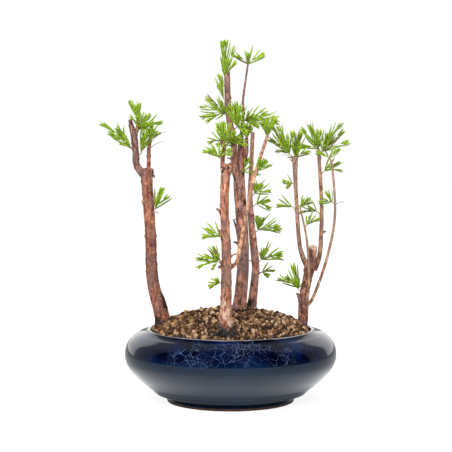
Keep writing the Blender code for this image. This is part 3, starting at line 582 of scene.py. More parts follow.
# Side shoots: the lengths of shoot from which one or two fork, how upright a shoot without any is, where they
# start along it, how far they swing and reach, and their size, spacing and needles against the shoot's own
ONE_FORK_FROM = 23
TWO_FORKS_FROM = 32
NO_FORKS_ABOVE = 0.8
FORK_STARTS = (0.12, 0.34)
FORK_ANGLES = (10, 19)
FORK_REACHES = (0.62, 0.85)
FORK_EXTRA = 3
FORK_RADIUS = 0.6
FORK_SPACING = 1.1
FORK_NEEDLES = 0.92

# How each shoot of a mass varies, in degrees, as in the source
SWING_VARIES = 4
RISE_VARIES = 2
ROLL_VARIES = 50

# Where a tuft starts beside its limb's tip rather than on it
TUFT_SHIFTS = {"foliage_leader_top": (-2.6, -2.2, -4.5)}

# Shoots that fill a mass where it is densest, within its own reach
MORE_SHOOTS = {
    "foliage_leader_low": ((322, 22, 18), (345, -4, 20), (300, 55, 16)),
    "foliage_leader_right": ((300, 8, 19), (325, -24, 16)),
    "foliage_tall_low": ((200, 30, 18), (188, 2, 14)),
    "foliage_front_side": ((330, 20, 16), (350, 45, 17)),
    "foliage_middle_tip": ((250, 50, 14),),
    "foliage_left_crown": ((205, 55, 18), (250, 62, 19)),
}

# Which tree a limb belongs to
TREES = {
    "left": ("trunk_left", "bough_left"),
    "front": ("trunk_front", "bough_front"),
    "middle": ("trunk_middle", "bough_leader", "bough_middle"),
    "back": ("trunk_back",),
    "right": ("trunk_right", "bough_right", "twig_right"),
}


# Materials

def put(tree, kind, inputs=None, **settings):
    """A node with its settings, whose inputs are values or the sockets that feed them."""
    node = tree.nodes.new(kind)
    for key, value in settings.items():
        setattr(node, key, value)
    for key, value in (inputs or {}).items():
        socket = node.inputs[key]
        if isinstance(value, bpy.types.NodeSocket):
            tree.links.new(value, socket)
        else:
            socket.default_value = value
    return node


def new_finish(name, **values):
    """A material with its Principled shader, and its tree and the coordinates of the object."""
    material = bpy.data.materials.new(name)
    material.use_nodes = True
    tree = material.node_tree
    shader = tree.nodes["Principled BSDF"]
    for key, value in values.items():
        shader.inputs[key.replace("_", " ")].default_value = value
    place = put(tree, "ShaderNodeTexCoord").outputs["Object"]
    return material, tree, shader, place


def stretched(tree, place, scale):
    return put(tree, "ShaderNodeMapping", {"Vector": place, "Scale": scale}).outputs["Vector"]


def cloud(tree, place, scale, detail=4.0, roughness=0.55, distortion=0.0):
    """Soft noise, with a scale in features per metre."""
    return put(tree, "ShaderNodeTexNoise", {
        "Vector": place, "Scale": scale, "Detail": detail, "Roughness": roughness, "Distortion": distortion,
    }).outputs["Fac"]


def ramp(tree, factor, stops):
    """Colours or greys at places along a factor."""
    node = put(tree, "ShaderNodeValToRGB", {"Fac": factor})
    marks = node.color_ramp.elements
    while len(marks) < len(stops):
        marks.new(0.5)
    for mark, (at, colour) in zip(marks, stops):
        mark.position = at
        mark.color = (*colour, 1) if isinstance(colour, tuple) else (colour, colour, colour, 1)
    return node.outputs["Color"]


def blend(tree, factor, low, high, how="MIX"):
    low, high = ((*side, 1) if isinstance(side, tuple) else side for side in (low, high))
    mix = put(tree, "ShaderNodeMix", {0: factor, 6: low, 7: high}, data_type="RGBA", blend_type=how)
    return mix.outputs[2]


def maths(tree, how, *terms):
    """Numbers joined one after another by the same operation."""
    total = terms[0]
    for term in terms[1:]:
        total = put(tree, "ShaderNodeMath", {0: total, 1: term}, operation=how).outputs[0]
    return total


def plus(tree, *terms):
    return maths(tree, "ADD", *terms)


def times(tree, *terms):
    return maths(tree, "MULTIPLY", *terms)


def soft_step(tree, value, start, full, top=1.0):
    """A soft step from nothing at the start to the top at the full value."""
    return put(tree, "ShaderNodeMapRange", {
        "Value": value, "From Min": start, "From Max": full, "To Max": top,
    }, interpolation_type="SMOOTHSTEP").outputs[0]


def raised(tree, shader, height, distance, strength=1.0):
    """Bump from a height, whose full range stands for this distance in metres."""
    bump = put(tree, "ShaderNodeBump", {"Height": height, "Distance": distance, "Strength": strength})
    tree.links.new(bump.outputs["Normal"], shader.inputs["Normal"])


def mottled(name, mottle, tones, relief, distance, strength=1.0, stretch=None, **values):
    """A finish with tones along one cloud and relief from others, each as (scale, detail, roughness)."""
    material, tree, shader, place = new_finish(name, **values)
    tree.links.new(ramp(tree, cloud(tree, place, *mottle), tones), shader.inputs["Base Color"])
    lie = stretched(tree, place, stretch) if stretch else place
    raised(tree, shader, plus(tree, *[cloud(tree, lie, *rough) for rough in relief]), distance, strength)
    return material


def glaze():
    """Deep navy glaze, clouded, with pale crackle where it pooled on the shoulder, and a painted highlight of
    pale grey along the lip.
    """
    material, tree, shader, place = new_finish("navy_glaze", Roughness=0.05, IOR=1.46)
    parts = put(tree, "ShaderNodeSeparateXYZ", {"Vector": place}).outputs
    clouds = cloud(tree, stretched(tree, place, (1, 1, 1.8)), 34, 5, 0.6, 0.4)
    shoulder = soft_step(tree, parts["Z"], *SHOULDER_BAND)
    base = blend(tree, shoulder, ramp(tree, clouds, SLATE), ramp(tree, clouds, NAVY))

    warp = put(tree, "ShaderNodeTexNoise", {"Vector": place, "Scale": 70.0, "Detail": 3.0}).outputs["Color"]
    shift = put(tree, "ShaderNodeVectorMath", {0: warp, "Scale": CRACKLE_BEND}, operation="SCALE").outputs[0]
    bent = put(tree, "ShaderNodeVectorMath", {0: place, 1: shift}, operation="ADD").outputs[0]
    lines = []
    for scale, width in CRACKLES:
        cells = put(tree, "ShaderNodeTexVoronoi", {"Vector": bent, "Scale": scale},
                    feature="DISTANCE_TO_EDGE")
        lines.append(ramp(tree, cells.outputs["Distance"], ((0.0, 1.0), (width, 0.0))))
    patches = ramp(tree, cloud(tree, place, 48, 2), ((0.45, 0.0), (0.62, 1.0)))
    crackle = maths(tree, "MAXIMUM", lines[0], times(tree, patches, lines[1]))
    front = soft_step(tree, parts["Y"], *CRACKLE_FRONT)
    worn = ramp(tree, plus(tree, cloud(tree, place, 34, 3, 0.55), front), ((0.53, 0.0), (0.72, 1.0)))
    amount = times(tree, crackle, worn, times(tree, shoulder, CRACKLE_SHARE))
    pooled = blend(tree, amount, base, CRACKLE_BLUE)

    # painted highlight: the top of the lip turns pale grey
    edge = soft_step(tree, plus(tree, parts["Z"], times(tree, clouds, 0.003)), *LIP_HIGHLIGHT_BAND)
    tree.links.new(blend(tree, edge, pooled, LIP_HIGHLIGHT_GREY), shader.inputs["Base Color"])
    waves = plus(tree, cloud(tree, place, 14, 2), times(tree, cloud(tree, place, 90, 2), 0.06))
    raised(tree, shader, waves, 0.0006, 0.5)
    return material


def bare_clay():
    """Unglazed brown stoneware of the foot."""
    tones = ((0.35, (0.035, 0.016, 0.010)), (0.6, (0.11, 0.052, 0.030)), (0.75, (0.22, 0.13, 0.08)))
    return mottled("bare_clay", (700, 6, 0.7), tones, ((700, 6, 0.7),), 0.0004, Roughness=0.85)


def grain_finish(name, dark, light):
    """Fired clay grain: porous and matt, mottled with dusty lighter patches."""
    tones = ((0.38, dark), (0.62, light))
    return mottled(name, (420, 6, 0.65), tones, ((1500, 4, 0.7), (600, 3)), 0.0010, 0.9, Roughness=0.92)


def shoot_skin():
    """Soft skin of this year's shoots, mottled brown and green."""
    tones = ((0.4, (0.20, 0.13, 0.05)), (0.6, (0.22, 0.30, 0.05)))
    return mottled("shoot_skin", (160, 4), tones, ((900, 3),), 0.0003, 0.5, (1, 1, 0.3), Roughness=0.6)


def root_skin():
    """Nearly black, dusty skin of the fine roots."""
    tones = ((0.4, (0.008, 0.007, 0.007)), (0.56, (0.032, 0.026, 0.025)), (0.68, (0.13, 0.10, 0.088)))
    return mottled("root_skin", (300, 4), tones, ((1500, 3),), 0.0003, 0.6, Roughness=0.85)


def needle_finish(name, deep, fresh):
    """Soft needle: satin, faintly mottled, with a little light let through."""
    return mottled(name, (130, 3), ((0.40, deep), (0.60, fresh)), ((900, 2),), 0.0001, 0.2, Roughness=0.6,
                   Subsurface_Weight=0.35, Subsurface_Radius=(0.3, 0.5, 0.1), Subsurface_Scale=0.003)


def bark(name, deep, middle, light, grey, greyness):
    """Bark in fibres over flaking plates. The mesh says where it is sooty, stained, bare, light or grey."""
    material, tree, shader, place = new_finish(name, Roughness=0.8)
    flaky = stretched(tree, place, (1, 1, 0.6))
    fibres = cloud(tree, stretched(tree, place, (1, 1, 0.22)), 480, 6, 0.62, 0.5)
    plates = cloud(tree, flaky, 210, 5, 0.62, 0.9)
    chips = cloud(tree, flaky, 430, 4, 0.6, 0.4)
    specks = cloud(tree, place, 1100, 3, 0.6)
    told = {
        layer: put(tree, "ShaderNodeAttribute", attribute_name=layer).outputs["Fac"] for layer in BARK_LAYERS
    }

    mixed = plus(tree, times(tree, fibres, 0.4), times(tree, plates, 0.35), times(tree, specks, 0.25))
    flake = tuple(min(1, c * 1.7) for c in light)
    colour = ramp(tree, mixed, tuple(zip(BARK_STOPS, (deep, middle, light, flake))))
    soft = plus(tree, cloud(tree, flaky, 85, 5, 0.65), times(tree, told["ash"], 0.16))
    colour = blend(tree, ramp(tree, soft, ((0.47, 0.0), (0.66, greyness))), colour, grey)
    pits = ramp(tree, cloud(tree, stretched(tree, place, (1, 1, 1.7)), 500, 2), ((0.60, 0.0), (0.67, 0.50)))
    colour = blend(tree, pits, colour, tuple(c * 0.6 for c in deep))
    # partly painted light: the bark's tone is multiplied by the lightness that the limb's table gives at each
    # height
    colour = blend(tree, 1.0, colour, told["shade"], "MULTIPLY")

    ragged = times(tree, plus(tree, plates, chips), 1.5)
    for layer, over in (("foot", ramp(tree, plates, SOOT)), ("dark", STAIN), ("pale", BARE_WOOD)):
        colour = blend(tree, soft_step(tree, plus(tree, told[layer], ragged), 2.0, 2.25), colour, over)
    tree.links.new(colour, shader.inputs["Base Color"])
    rough = plus(tree, mixed, times(tree, cloud(tree, place, 1400, 3), 0.25))
    raised(tree, shader, rough, 0.0011, 0.75)
    return material


# Meshes

def mesh_of(name, points, faces, outwards=True):
    """A mesh from points in millimetres, smooth shaded, with its faces turned outwards."""
    mesh = bpy.data.meshes.new(name)
    mesh.from_pydata([Vector(p) * MM for p in points], [], faces)
    if outwards:
        shape = bmesh.new()
        shape.from_mesh(mesh)
        bmesh.ops.recalc_face_normals(shape, faces=shape.faces)
        shape.to_mesh(mesh)
        shape.free()
    mesh.polygons.foreach_set("use_smooth", [True] * len(mesh.polygons))
    return mesh


def show(name, mesh, slot, *replaced):
    """Puts a piece in the scene, riding on the body, in place of the frame's nodes of these names."""
    piece = bpy.data.objects.new(name, mesh)
    bpy.context.scene.collection.objects.link(piece)
    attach(piece, BODY)
    if replaced:
        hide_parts(*replaced)


def give(mesh, name, values, kind="FLOAT"):
    """An attribute with one value for each point."""
    layer = mesh.attributes.new(name, kind, "POINT")
    if kind == "FLOAT_VECTOR":
        layer.data.foreach_set("vector", [part for value in values for part in value])
    else:
        layer.data.foreach_set("value", values)


def turns(count):
    """Angles that part a full turn evenly."""
    return [math.tau * i / count for i in range(count)]


def circle(x, y, z, radius, sides):
    return [Vector((x + radius * math.cos(turn), y + radius * math.sin(turn), z)) for turn in turns(sides)]


def bands(first, end, sides):
    """Faces between rings of this many points, whose points are numbered from the first to before the end."""
    faces = []
    for low in range(first, end - sides, sides):
        for i in range(sides):
            j = (i + 1) % sides
            faces.append((low + i, low + j, low + sides + j, low + sides + i))
    return faces


def skin_rings(rings):
    """Points and faces of a skin over rings of equal size, closed by a fan at each end."""
    sides = len(rings[0])
    points = [p for ring in rings for p in ring]
    last = len(points) - sides
    faces = bands(0, len(points), sides)
    for start, turned in ((0, True), (last, False)):
        points.append(sum((points[start + i] for i in range(sides)), Vector()) / sides)
        for i in range(sides):
            fan = (start + i, start + (i + 1) % sides, len(points) - 1)
            faces.append(fan[::-1] if turned else fan)
    return points, faces


def add_skin(points, faces, rings):
    """Adds the skin over some rings to a joined piece, and says how many points it has."""
    more, skins = skin_rings(rings)
    faces += [tuple(len(points) + i for i in face) for face in skins]
    points += more
    return len(more)


def tree_of(*names):
    """A search tree over the faces of the frame's nodes, in millimetres."""
    points, faces = [], []
    for name in names:
        mesh = frame["nodes"][name].data
        start = len(points)
        points += [vert.co / MM for vert in mesh.vertices]
        faces += [[start + i for i in face.vertices] for face in mesh.polygons]
    return BVHTree.FromPolygons(points, faces)


# Bowl and soil

def make_bowl():
    """The bowl turned from its profile, glazed down to a thin bare foot."""
    def smooth(corners, steps):
        spots = [Vector((x, 0, z)) for x, z in corners]
        ends = [spots[0]] + spots + [spots[-1]]
        line = []
        for before, start, end, after in zip(ends, ends[1:], ends[2:], ends[3:]):
            handles = start + (end - before) / 6, end - (after - start) / 6
            line += interpolate_bezier(start, *handles, end, steps + 1)[:-1]
        return [(p.x, p.z) for p in line]

    out, up = LIP_CENTRE
    lip = [
        (out + LIP_RADIUS * math.cos(angle), up + LIP_RADIUS * math.sin(angle))
        for angle in map(math.radians, range(*LIP_TURN))
    ]
    outside = smooth(BOWL_OUTSIDE, OUTSIDE_STEPS)
    inside = smooth(BOWL_INSIDE[::-1], INSIDE_STEPS)
    profile = [*BOWL_FOOT, *outside, *lip, *inside]
    rings = [circle(0, 0, z, max(x, SMALLEST), BOWL_SIDES) for x, z in profile]
    mesh = mesh_of("bowl_glazed", *skin_rings(rings))
    mesh.materials.append(glaze())
    mesh.materials.append(bare_clay())
    for face in mesh.polygons:
        bare = face.center.z < BARE_CLAY_TOP * MM and face.center.length < BARE_CLAY_REACH * MM
        face.material_index = 1 if bare else 0
    show("bowl_glazed", mesh, "glaze", "bowl")


def soil_height(out, frontness):
    """Height of the heap at a share of the lip's radius, where frontness is 1 straight to the front."""
    mound = SOIL_BANK * (1 - out ** SOIL_BROW) + (1 - SOIL_BANK) * (1 - out ** SOIL_SLOPE)
    return SOIL_EDGE + (SOIL_PEAK - SOIL_EDGE) * mound * (1 - SOIL_DIP * out * max(0, frontness) ** 2)


def soil_bed(lowered, edge):
    """Points of the heap's surface in rings, this far below the grains' tops, and the faces between them."""
    points = []
    for ring in range(SOIL_RINGS + 1):
        out = max(SMALLEST, ring / SOIL_RINGS)
        level = 1 - min(1, out) ** LUMP_FADE
        x = SOIL_PEAK_AT[0] * (1 - out)
        y = SOIL_PEAK_AT[1] * (1 - out)
        for spot in circle(x, y, 0, edge * out, SOIL_SIDES):
            spot.z = soil_height(min(1, out), (y - spot.y) / (edge * out)) - lowered
            spot.z += LUMP_HEIGHT * noise.noise(Vector((spot.x, spot.y, 0)) / LUMP_APART) * level
            points.append(spot)
    return points, bands(0, len(points), SOIL_SIDES)


def make_soil():
    """The bed of fine soil, closed below and painted near black as the shade in the gaps between the grains,
    and two layers of grains over it.
    """
    points, faces = soil_bed(BED_LOWERED, SOIL_RADIUS - BED_INSET)
    last = len(points) - SOIL_SIDES
    for radius, height in BED_UNDERSIDE:
        points += circle(0, 0, height, radius, SOIL_SIDES)
    faces += bands(last, len(points), SOIL_SIDES)
    for start, turned in ((0, True), (len(points) - SOIL_SIDES, False)):
        ring = tuple(range(start, start + SOIL_SIDES))
        faces.append(ring[::-1] if turned else ring)
    bed = mesh_of("soil_bed", points, faces)
    # painted shade: the bed's near-black finish stands for the shade in the gaps between the grains
    bed.materials.append(grain_finish("soil_bed", *BED_SHADE_TONES))
    show("soil_bed", bed, "soil", "soil")

    shapes = grain_shapes()
    finishes = [grain_finish(*tint) for tint in GRAIN_TINTS]
    for name, lowered, apart, size, seed in GRAIN_LAYERS:
        ground = mesh_of(name, *soil_bed(lowered, SOIL_RADIUS - size * 0.4), outwards=False)
        tree = scatter_tree(name, shapes, finishes)
        show(name, grow(ground, tree, {"Apart": apart * MM, "Size": size * MM, "Seed": seed}), "soil")
    clear_group(shapes)


def grain_shapes():
    """Irregular lumps of fired clay, one unit across."""
    rng = random.Random(SEED)
    group = new_group("grain_shapes")
    for number in range(GRAIN_KINDS):
        shape = bmesh.new()
        squash = Vector((rng.uniform(0.75, 1.15), rng.uniform(0.65, 1.0), rng.uniform(0.6, 0.9)))
        for _ in range(GRAIN_CORNERS):
            spot = Vector([rng.gauss(0, 1) for _ in range(3)]).normalized() * rng.uniform(0.38, 0.56)
            shape.verts.new(spot * squash)
        hull = bmesh.ops.convex_hull(shape, input=shape.verts)
        bmesh.ops.delete(shape, geom=list(set(hull["geom_interior"] + hull["geom_unused"])), context="VERTS")
        mesh = bpy.data.meshes.new("grain_%d" % number)
        shape.to_mesh(mesh)
        shape.free()
        mesh.polygons.foreach_set("use_smooth", [True] * len(mesh.polygons))
        group.objects.link(bpy.data.objects.new(mesh.name, mesh))
    return group


# Geometry Nodes

def new_group(name):
    """A collection for the shapes that a tree picks from."""
    group = bpy.data.collections.new(name)
    bpy.context.scene.collection.children.link(group)
    return group


def clear_group(group):
    for shape in group.objects[:]:
        bpy.data.objects.remove(shape)
    bpy.data.collections.remove(group)


def new_tree(name, sizes):
    """A tree with a geometry input and output, and these named inputs."""
    tree = bpy.data.node_groups.new(name, "GeometryNodeTree")
    tree.interface.new_socket("Geometry", in_out="INPUT", socket_type="NodeSocketGeometry")
    for label, kind in sizes:
        tree.interface.new_socket(label, in_out="INPUT", socket_type=kind)
    tree.interface.new_socket("Geometry", in_out="OUTPUT", socket_type="NodeSocketGeometry")
    return tree, tree.nodes.new("NodeGroupInput").outputs


def pool_of(tree, shapes):
    return put(tree, "GeometryNodeCollectionInfo", {
        "Collection": shapes, "Separate Children": True, "Reset Children": True,
    }).outputs["Instances"]


def kept_as(tree, name, kind):
    """What each point or instance carries under this name."""
    return put(tree, "GeometryNodeInputNamedAttribute", {"Name": name}, data_type=kind).outputs["Attribute"]


def painted(tree, geometry, finishes):
    """Realizes the instances, gives each its finish by its tint, and ends the tree."""
    shape = put(tree, "GeometryNodeRealizeInstances", {"Geometry": geometry}).outputs["Geometry"]
    for number, finish in enumerate(finishes):
        chosen = put(tree, "FunctionNodeCompare", {2: kept_as(tree, "tint", "INT"), 3: number},
                     data_type="INT", operation="EQUAL")
        shape = put(tree, "GeometryNodeSetMaterial", {
            "Geometry": shape, "Selection": chosen.outputs["Result"], "Material": finish,
        }).outputs["Geometry"]
    out = tree.nodes.new("NodeGroupOutput")
    tree.links.new(shape, out.inputs["Geometry"])


def scatter_tree(name, shapes, finishes):
    """Grains strewn over a surface, each turned and sized at random."""
    tree, given = new_tree(name, (
        ("Apart", "NodeSocketFloat"), ("Size", "NodeSocketFloat"), ("Seed", "NodeSocketInt"),
    ))
    spots = put(tree, "GeometryNodeDistributePointsOnFaces", {
        "Mesh": given["Geometry"], "Distance Min": given["Apart"], "Density Max": GRAIN_DENSITY,
        "Seed": given["Seed"],
    }, distribute_method="POISSON")
    turn = put(tree, "FunctionNodeRandomValue", {"Max": (math.tau, math.tau, math.tau), "Seed": 3},
               data_type="FLOAT_VECTOR")
    smallest, largest = GRAIN_SCALES
    size = put(tree, "FunctionNodeRandomValue", {2: smallest, 3: largest, "Seed": 5}, data_type="FLOAT")
    tint = put(tree, "FunctionNodeRandomValue", {4: 0, 5: len(finishes) - 1, "Seed": 11}, data_type="INT")
    strewn = put(tree, "GeometryNodeInstanceOnPoints", {
        "Points": spots.outputs["Points"], "Instance": pool_of(tree, shapes), "Pick Instance": True,
        "Rotation": turn.outputs["Value"], "Scale": times(tree, size.outputs[1], given["Size"]),
    })
    kept = put(tree, "GeometryNodeStoreNamedAttribute", {
        "Geometry": strewn.outputs["Instances"], "Name": "tint", "Value": tint.outputs[2],
    }, data_type="INT", domain="INSTANCE")
    painted(tree, kept.outputs["Geometry"], finishes)
    return tree


def needle_tree(name, shapes, finishes):
    """A needle at every point, turned, sized and tinted by the point's attributes."""
    tree, given = new_tree(name, (("Width", "NodeSocketFloat"),))
    wide = given["Width"]
    scale = put(tree, "ShaderNodeCombineXYZ", {0: wide, 1: wide, 2: kept_as(tree, "grown", "FLOAT")})
    placed = put(tree, "GeometryNodeInstanceOnPoints", {
        "Points": given["Geometry"], "Instance": pool_of(tree, shapes), "Pick Instance": True,
        "Instance Index": kept_as(tree, "shape", "INT"), "Rotation": kept_as(tree, "turn", "FLOAT_VECTOR"),
        "Scale": scale.outputs["Vector"],
    })
    painted(tree, placed.outputs["Instances"], finishes)
    return tree


def grow(mesh, tree, inputs):
    """The plain mesh that a tree makes of another, with its named inputs set first."""
    obj = bpy.data.objects.new(mesh.name, mesh)
    bpy.context.scene.collection.objects.link(obj)
    modifier = obj.modifiers.new("Grow", "NODES")
    modifier.node_group = tree
    for item in tree.interface.items_tree:
        if item.in_out == "INPUT" and item.name in inputs:
            modifier[item.identifier] = inputs[item.name]
    bpy.context.view_layer.update()
    grown = obj.evaluated_get(bpy.context.evaluated_depsgraph_get())
    result = bpy.data.meshes.new_from_object(grown)
    obj.modifiers.clear()
    bpy.data.objects.remove(obj)
    result.name = mesh.name
    for layer in ("tint", "turn", "grown", "shape"):
        if layer in result.attributes:
            result.attributes.remove(result.attributes[layer])
    return result


# Bark

def smooth_route(route, spacing):
    """Points (position, radius) about this far apart on a smooth curve through a limb's route."""
    marks = [Vector(point) for point in route]
    ends = [2 * marks[0] - marks[1]] + marks + [2 * marks[-1] - marks[-2]]
    line = []
    for before, start, end, after in zip(ends, ends[1:], ends[2:], ends[3:]):
        steps = max(1, round((end - start).to_3d().length / spacing))
        for step in range(steps):
            t = step / steps
            line.append(0.5 * (
                2 * start + (end - before) * t + (2 * before - 5 * start + 4 * end - after) * t * t
                + (3 * start - before - 3 * end + after) * t ** 3
            ))
    line.append(marks[-1])
    return [(point.to_3d(), point.w) for point in line]


def heading(swing, rise):
    swing, rise = math.radians(swing), math.radians(rise)
    return Vector((math.cos(swing) * math.cos(rise), math.sin(swing) * math.cos(rise), math.sin(rise)))


def bell(offset, width):
    return math.exp(-(offset / width) ** 2)


def mark_relief(marks, height, swing, radius):
    """How far the marks lift the bark here, and how dark and how pale they leave it."""
    lift = dark = pale = 0.0
    for kind, at, way, width in marks:
        up, dim, bare = MARK_TONES[kind]
        across = 0 if kind in ALL_ROUND else (swing - way + 180) % 360 - 180
        gap = math.hypot(height - at, math.radians(across) * radius) / width
        if gap > MARK_REACH and not (kind == "crack" and abs(height - at) < CRACK_REACH):
            continue
        mound = math.exp(-gap * gap * 1.6)
        if kind == "knob":
            lift += up * width * mound
            dark += dim * bell(gap - 0.8, 0.35)
            pale += bare * (gap < 0.4)
        elif kind == "bud":
            lift += up * width * mound
            dark += dim * mound
        elif kind == "scar":
            lift += up * width * bell(gap - 0.6, 0.3) - 0.1 * mound
            dark += dim * bell(gap - 0.8, 0.25)
            pale += bare * bell(gap, 0.4)
        elif kind == "peel":
            lift += up * mound
            pale = max(pale, bare * min(1.0, 1.6 * mound))
        elif kind == "stain":
            dark += dim * mound
        elif kind == "ring":
            lift += up * bell(height - at - 0.8 * math.sin(math.radians(2 * swing)), width)
        # painted shade: a crack only darkens the bark, as the shade in a crease would
        elif kind == "crack":
            dark += dim * bell(height - at - 1.5 * math.sin(math.radians(2 * (swing - way))), width)
        elif kind == "cap":
            pale = max(pale, bare * bell(height - at, width))
    return lift, min(1, dark), min(1, pale)


def shade_at(limb, height):
    """How light and how ashen the bark of a limb is at this height."""
    table = SHADES.get(limb, ((0, 1.0, 0.0),))
    for (low, *first), (high, *second) in zip(table, table[1:]):
        if height <= high:
            share = max(0.0, (height - low) / (high - low))
            return [a + (b - a) * share for a, b in zip(first, second)]
    return table[-1][1:]


class Tones:
    """What the bark's finish reads at each point: soot, stain, bare wood, light and ash."""

    def __init__(self):
        self.layers = {layer: [] for layer in BARK_LAYERS}

    def note(self, foot, dark, pale, shade=1.0, ash=0.0, count=1):
        for values, value in zip(self.layers.values(), (foot, dark, pale, shade, ash)):
            values += [value] * count

    def give_to(self, mesh):
        for layer, values in self.layers.items():
            give(mesh, layer, values)


def bark_noise(at, grain):
    return noise.noise(Vector([part * fine for part, fine in zip(at, grain)]))


def limb_sides(name):
    if name in TRUNKS:
        return TRUNK_SIDES
    return BOUGH_SIDES if max(point[3] for point in ROUTES[name]) > TWIG_RADIUS else TWIG_SIDES


def cut_tip(name, rim, line, shift, tones):
    """Rings that close the tip of a limb with a worn cut, from its last ring inwards."""
    top, radius = line[-1]
    along = (line[-1][0] - line[-2][0]).normalized()
    rough = min(1.0, radius / RELIEF_RADIUS)
    worn_rim, worn_heart = WORN_CUT
    heart = max(worn_heart, FRESH_CUT.get(name, 0) - 0.15)
    rings = []
    for share, lift in CUT_RINGS:
        rings.append([
            top + (p - top) * share + along * rough * (lift + 0.9 * noise.noise((p + shift) * 0.35))
            for p in rim
        ])
        tones.note(0.0, 0.25, FRESH_CUT.get(name, worn_rim) if share > 0.3 else heart, count=len(rim))
    return rings


def make_limb(name, finish, slot):
    """A limb drawn out again along its route, with fibrous relief, its marks and a worn cut tip."""
    route = ROUTES[name]
    line = smooth_route(route, RING_SPACING)
    start = line[0][0]
    marks = MARKS.get(name, ())
    shift = Vector([NOISE_STEP * sum(map(ord, name)) % NOISE_SPAN] * 3)
    tones = Tones()
    rings = []
    sides = turns(limb_sides(name))
    across = Vector((1, 0, 0))
    for i, (spot, radius) in enumerate(line):
        along = (line[min(i + 1, len(line) - 1)][0] - line[max(i - 1, 0)][0]).normalized()
        across = (across - across.dot(along) * along).normalized()
        other = along.cross(across)
        height = spot.z - start.z
        size = min(1.0, radius / RELIEF_RADIUS)
        light = shade_at(name, spot.z)
        soot = max(0.0, 1 - height / FOOT_HEIGHT[name]) if name in TRUNKS else 0.0
        tilt = CUT_SLOPES.get(name, 0.0) * max(0.0, 1 - (route[-1][2] - spot.z) / CUT_BLEND)
        ring = []
        for turn in sides:
            out = across * math.cos(turn) + other * math.sin(turn)
            reach = radius + THICKER.get(name, 0)
            if name in TRUNKS:
                lobe = 1 + FLARE_LOBE * math.cos(ROOTS * turn + start.x)
                reach *= 1 + FLARE * lobe * math.exp(-height / FLARE_HEIGHT)
            at = spot + out * radius + shift
            fissure = bark_noise(at, FISSURE_GRAIN) - FISSURE_LEVEL
            relief = FISSURE_DEPTH * fissure + FIBRE_DEPTH * bark_noise(at, FIBRE_GRAIN)
            lift, stain, bare = mark_relief(marks, spot.z, math.degrees(math.atan2(out.y, out.x)), radius)
            reach += size * (relief + SWELL * noise.noise(at * SWELL_GRAIN)) + lift
            ring.append(spot + out * reach + along * tilt * out.y * reach)
            tones.note(soot, stain, bare, *light)
        rings.append(ring)
    rings += cut_tip(name, rings[-1], line, shift, tones)
    tones.note(1.0, 0.0, 0.0)
    tones.note(0.0, 0.6, 0.2)
    mesh = mesh_of(name + "_bark", *skin_rings(rings))
    tones.give_to(mesh)
    mesh.materials.append(finish)
    show(name + "_bark", mesh, slot, name)


def make_stubs(finish):
    """Short dead twigs, cut stubs and a few dry needles, joined as one piece."""
    points, faces = [], []
    tones = Tones()
    for number, (limb, height, swing, rise, length, radius) in enumerate(STUBS):
        spot, thick = min(smooth_route(ROUTES[limb], 1.0), key=lambda point: abs(point[0].z - height))
        way = heading(swing, rise)
        side = way.orthogonal().normalized()
        other = way.cross(side)
        begin = spot + Vector((way.x, way.y, 0)).normalized() * thick * STUB_START
        thickest, taper = TWIG_TAPER if length > TWIG_FROM else STUB_TAPER
        rings = []
        steps = max(6, round(length / STUB_STEP))
        for step in range(steps + 1):
            t = step / steps
            waver = [noise.noise(Vector((number * 9.1, t * 3, axis * 5))) for axis in range(3)]
            bent = begin + way * length * t + Vector((0, 0, 1)) * length * STUB_BEND * math.sin(math.pi * t)
            bent += Vector([STUB_WAVER * part for part in waver]) * t
            size = radius * (thickest - taper * t)
            ring = []
            for turn in turns(STUB_SIDES):
                rough = noise.noise(Vector((math.cos(turn), math.sin(turn), t * length / 2 + number)))
                out = side * math.cos(turn) + other * math.sin(turn)
                ring.append(bent + out * size * (1 + STUB_ROUGH * rough))
            rings.append(ring)
        tip = STUB_SIDES + 2
        tones.note(0.0, 0.35, 0.0, count=add_skin(points, faces, rings) - tip)
        tones.note(0.0, 0.5, 0.5, count=tip)
    mesh = mesh_of("twig_stubs", points, faces)
    tones.give_to(mesh)
    mesh.materials.append(finish)
    show("twig_stubs", mesh, "bark")


def make_roots(finish):
    """Fine dark roots that creep over the soil from the front trunk's foot, joined as one piece."""
    rng = random.Random(SEED)
    points, faces = [], []
    centre = Vector(TRUNKS["trunk_front"][0][:3])
    for number in range(ROOT_COUNT):
        turn = rng.uniform(0, math.tau)
        length = rng.uniform(*ROOT_LENGTHS)
        radius = rng.uniform(*ROOT_RADII)
        curl = rng.uniform(-ROOT_CURL, ROOT_CURL)
        rings = []
        for step in range(ROOT_STEPS + 1):
            t = step / ROOT_STEPS
            bearing = turn + curl * t
            spot = centre + Vector((math.cos(bearing), math.sin(bearing), 0)) * (ROOT_START + length * t)
            flat = spot.xy - Vector(SOIL_PEAK_AT)
            heap = soil_height(min(1.0, flat.length / SOIL_RADIUS), -flat.y / max(1.0, flat.length))
            waver = ROOT_WAVER * noise.noise(spot * 0.3 + Vector([number] * 3))
            spot.z = max(heap - ROOT_SUNK, centre.z + ROOT_RISE * (1 - t) ** 2) + waver
            side = Vector((-math.sin(bearing), math.cos(bearing), 0))
            rings.append([
                spot + (side * math.cos(k) + Vector((0, 0, 1)) * math.sin(k)) * radius * (1 - SHOOT_TAPER * t)
                for k in turns(ROOT_SIDES)
            ])
        add_skin(points, faces, rings)
    mesh = mesh_of("root_fibres", points, faces)
    mesh.materials.append(finish)
    show("root_fibres", mesh, "bark")


def make_limbs():
    finishes = {name: bark("bark_" + name, *tones) for name, tones in BARKS.items()}
    for name in ROUTES:
        finish = finishes[LIMB_BARKS.get(name, COMMON_BARK)]
        make_limb(name, finish, "bark" if name in TRUNKS else "young_bark")
    make_stubs(finishes[COMMON_BARK])
    make_roots(root_skin())


# Foliage

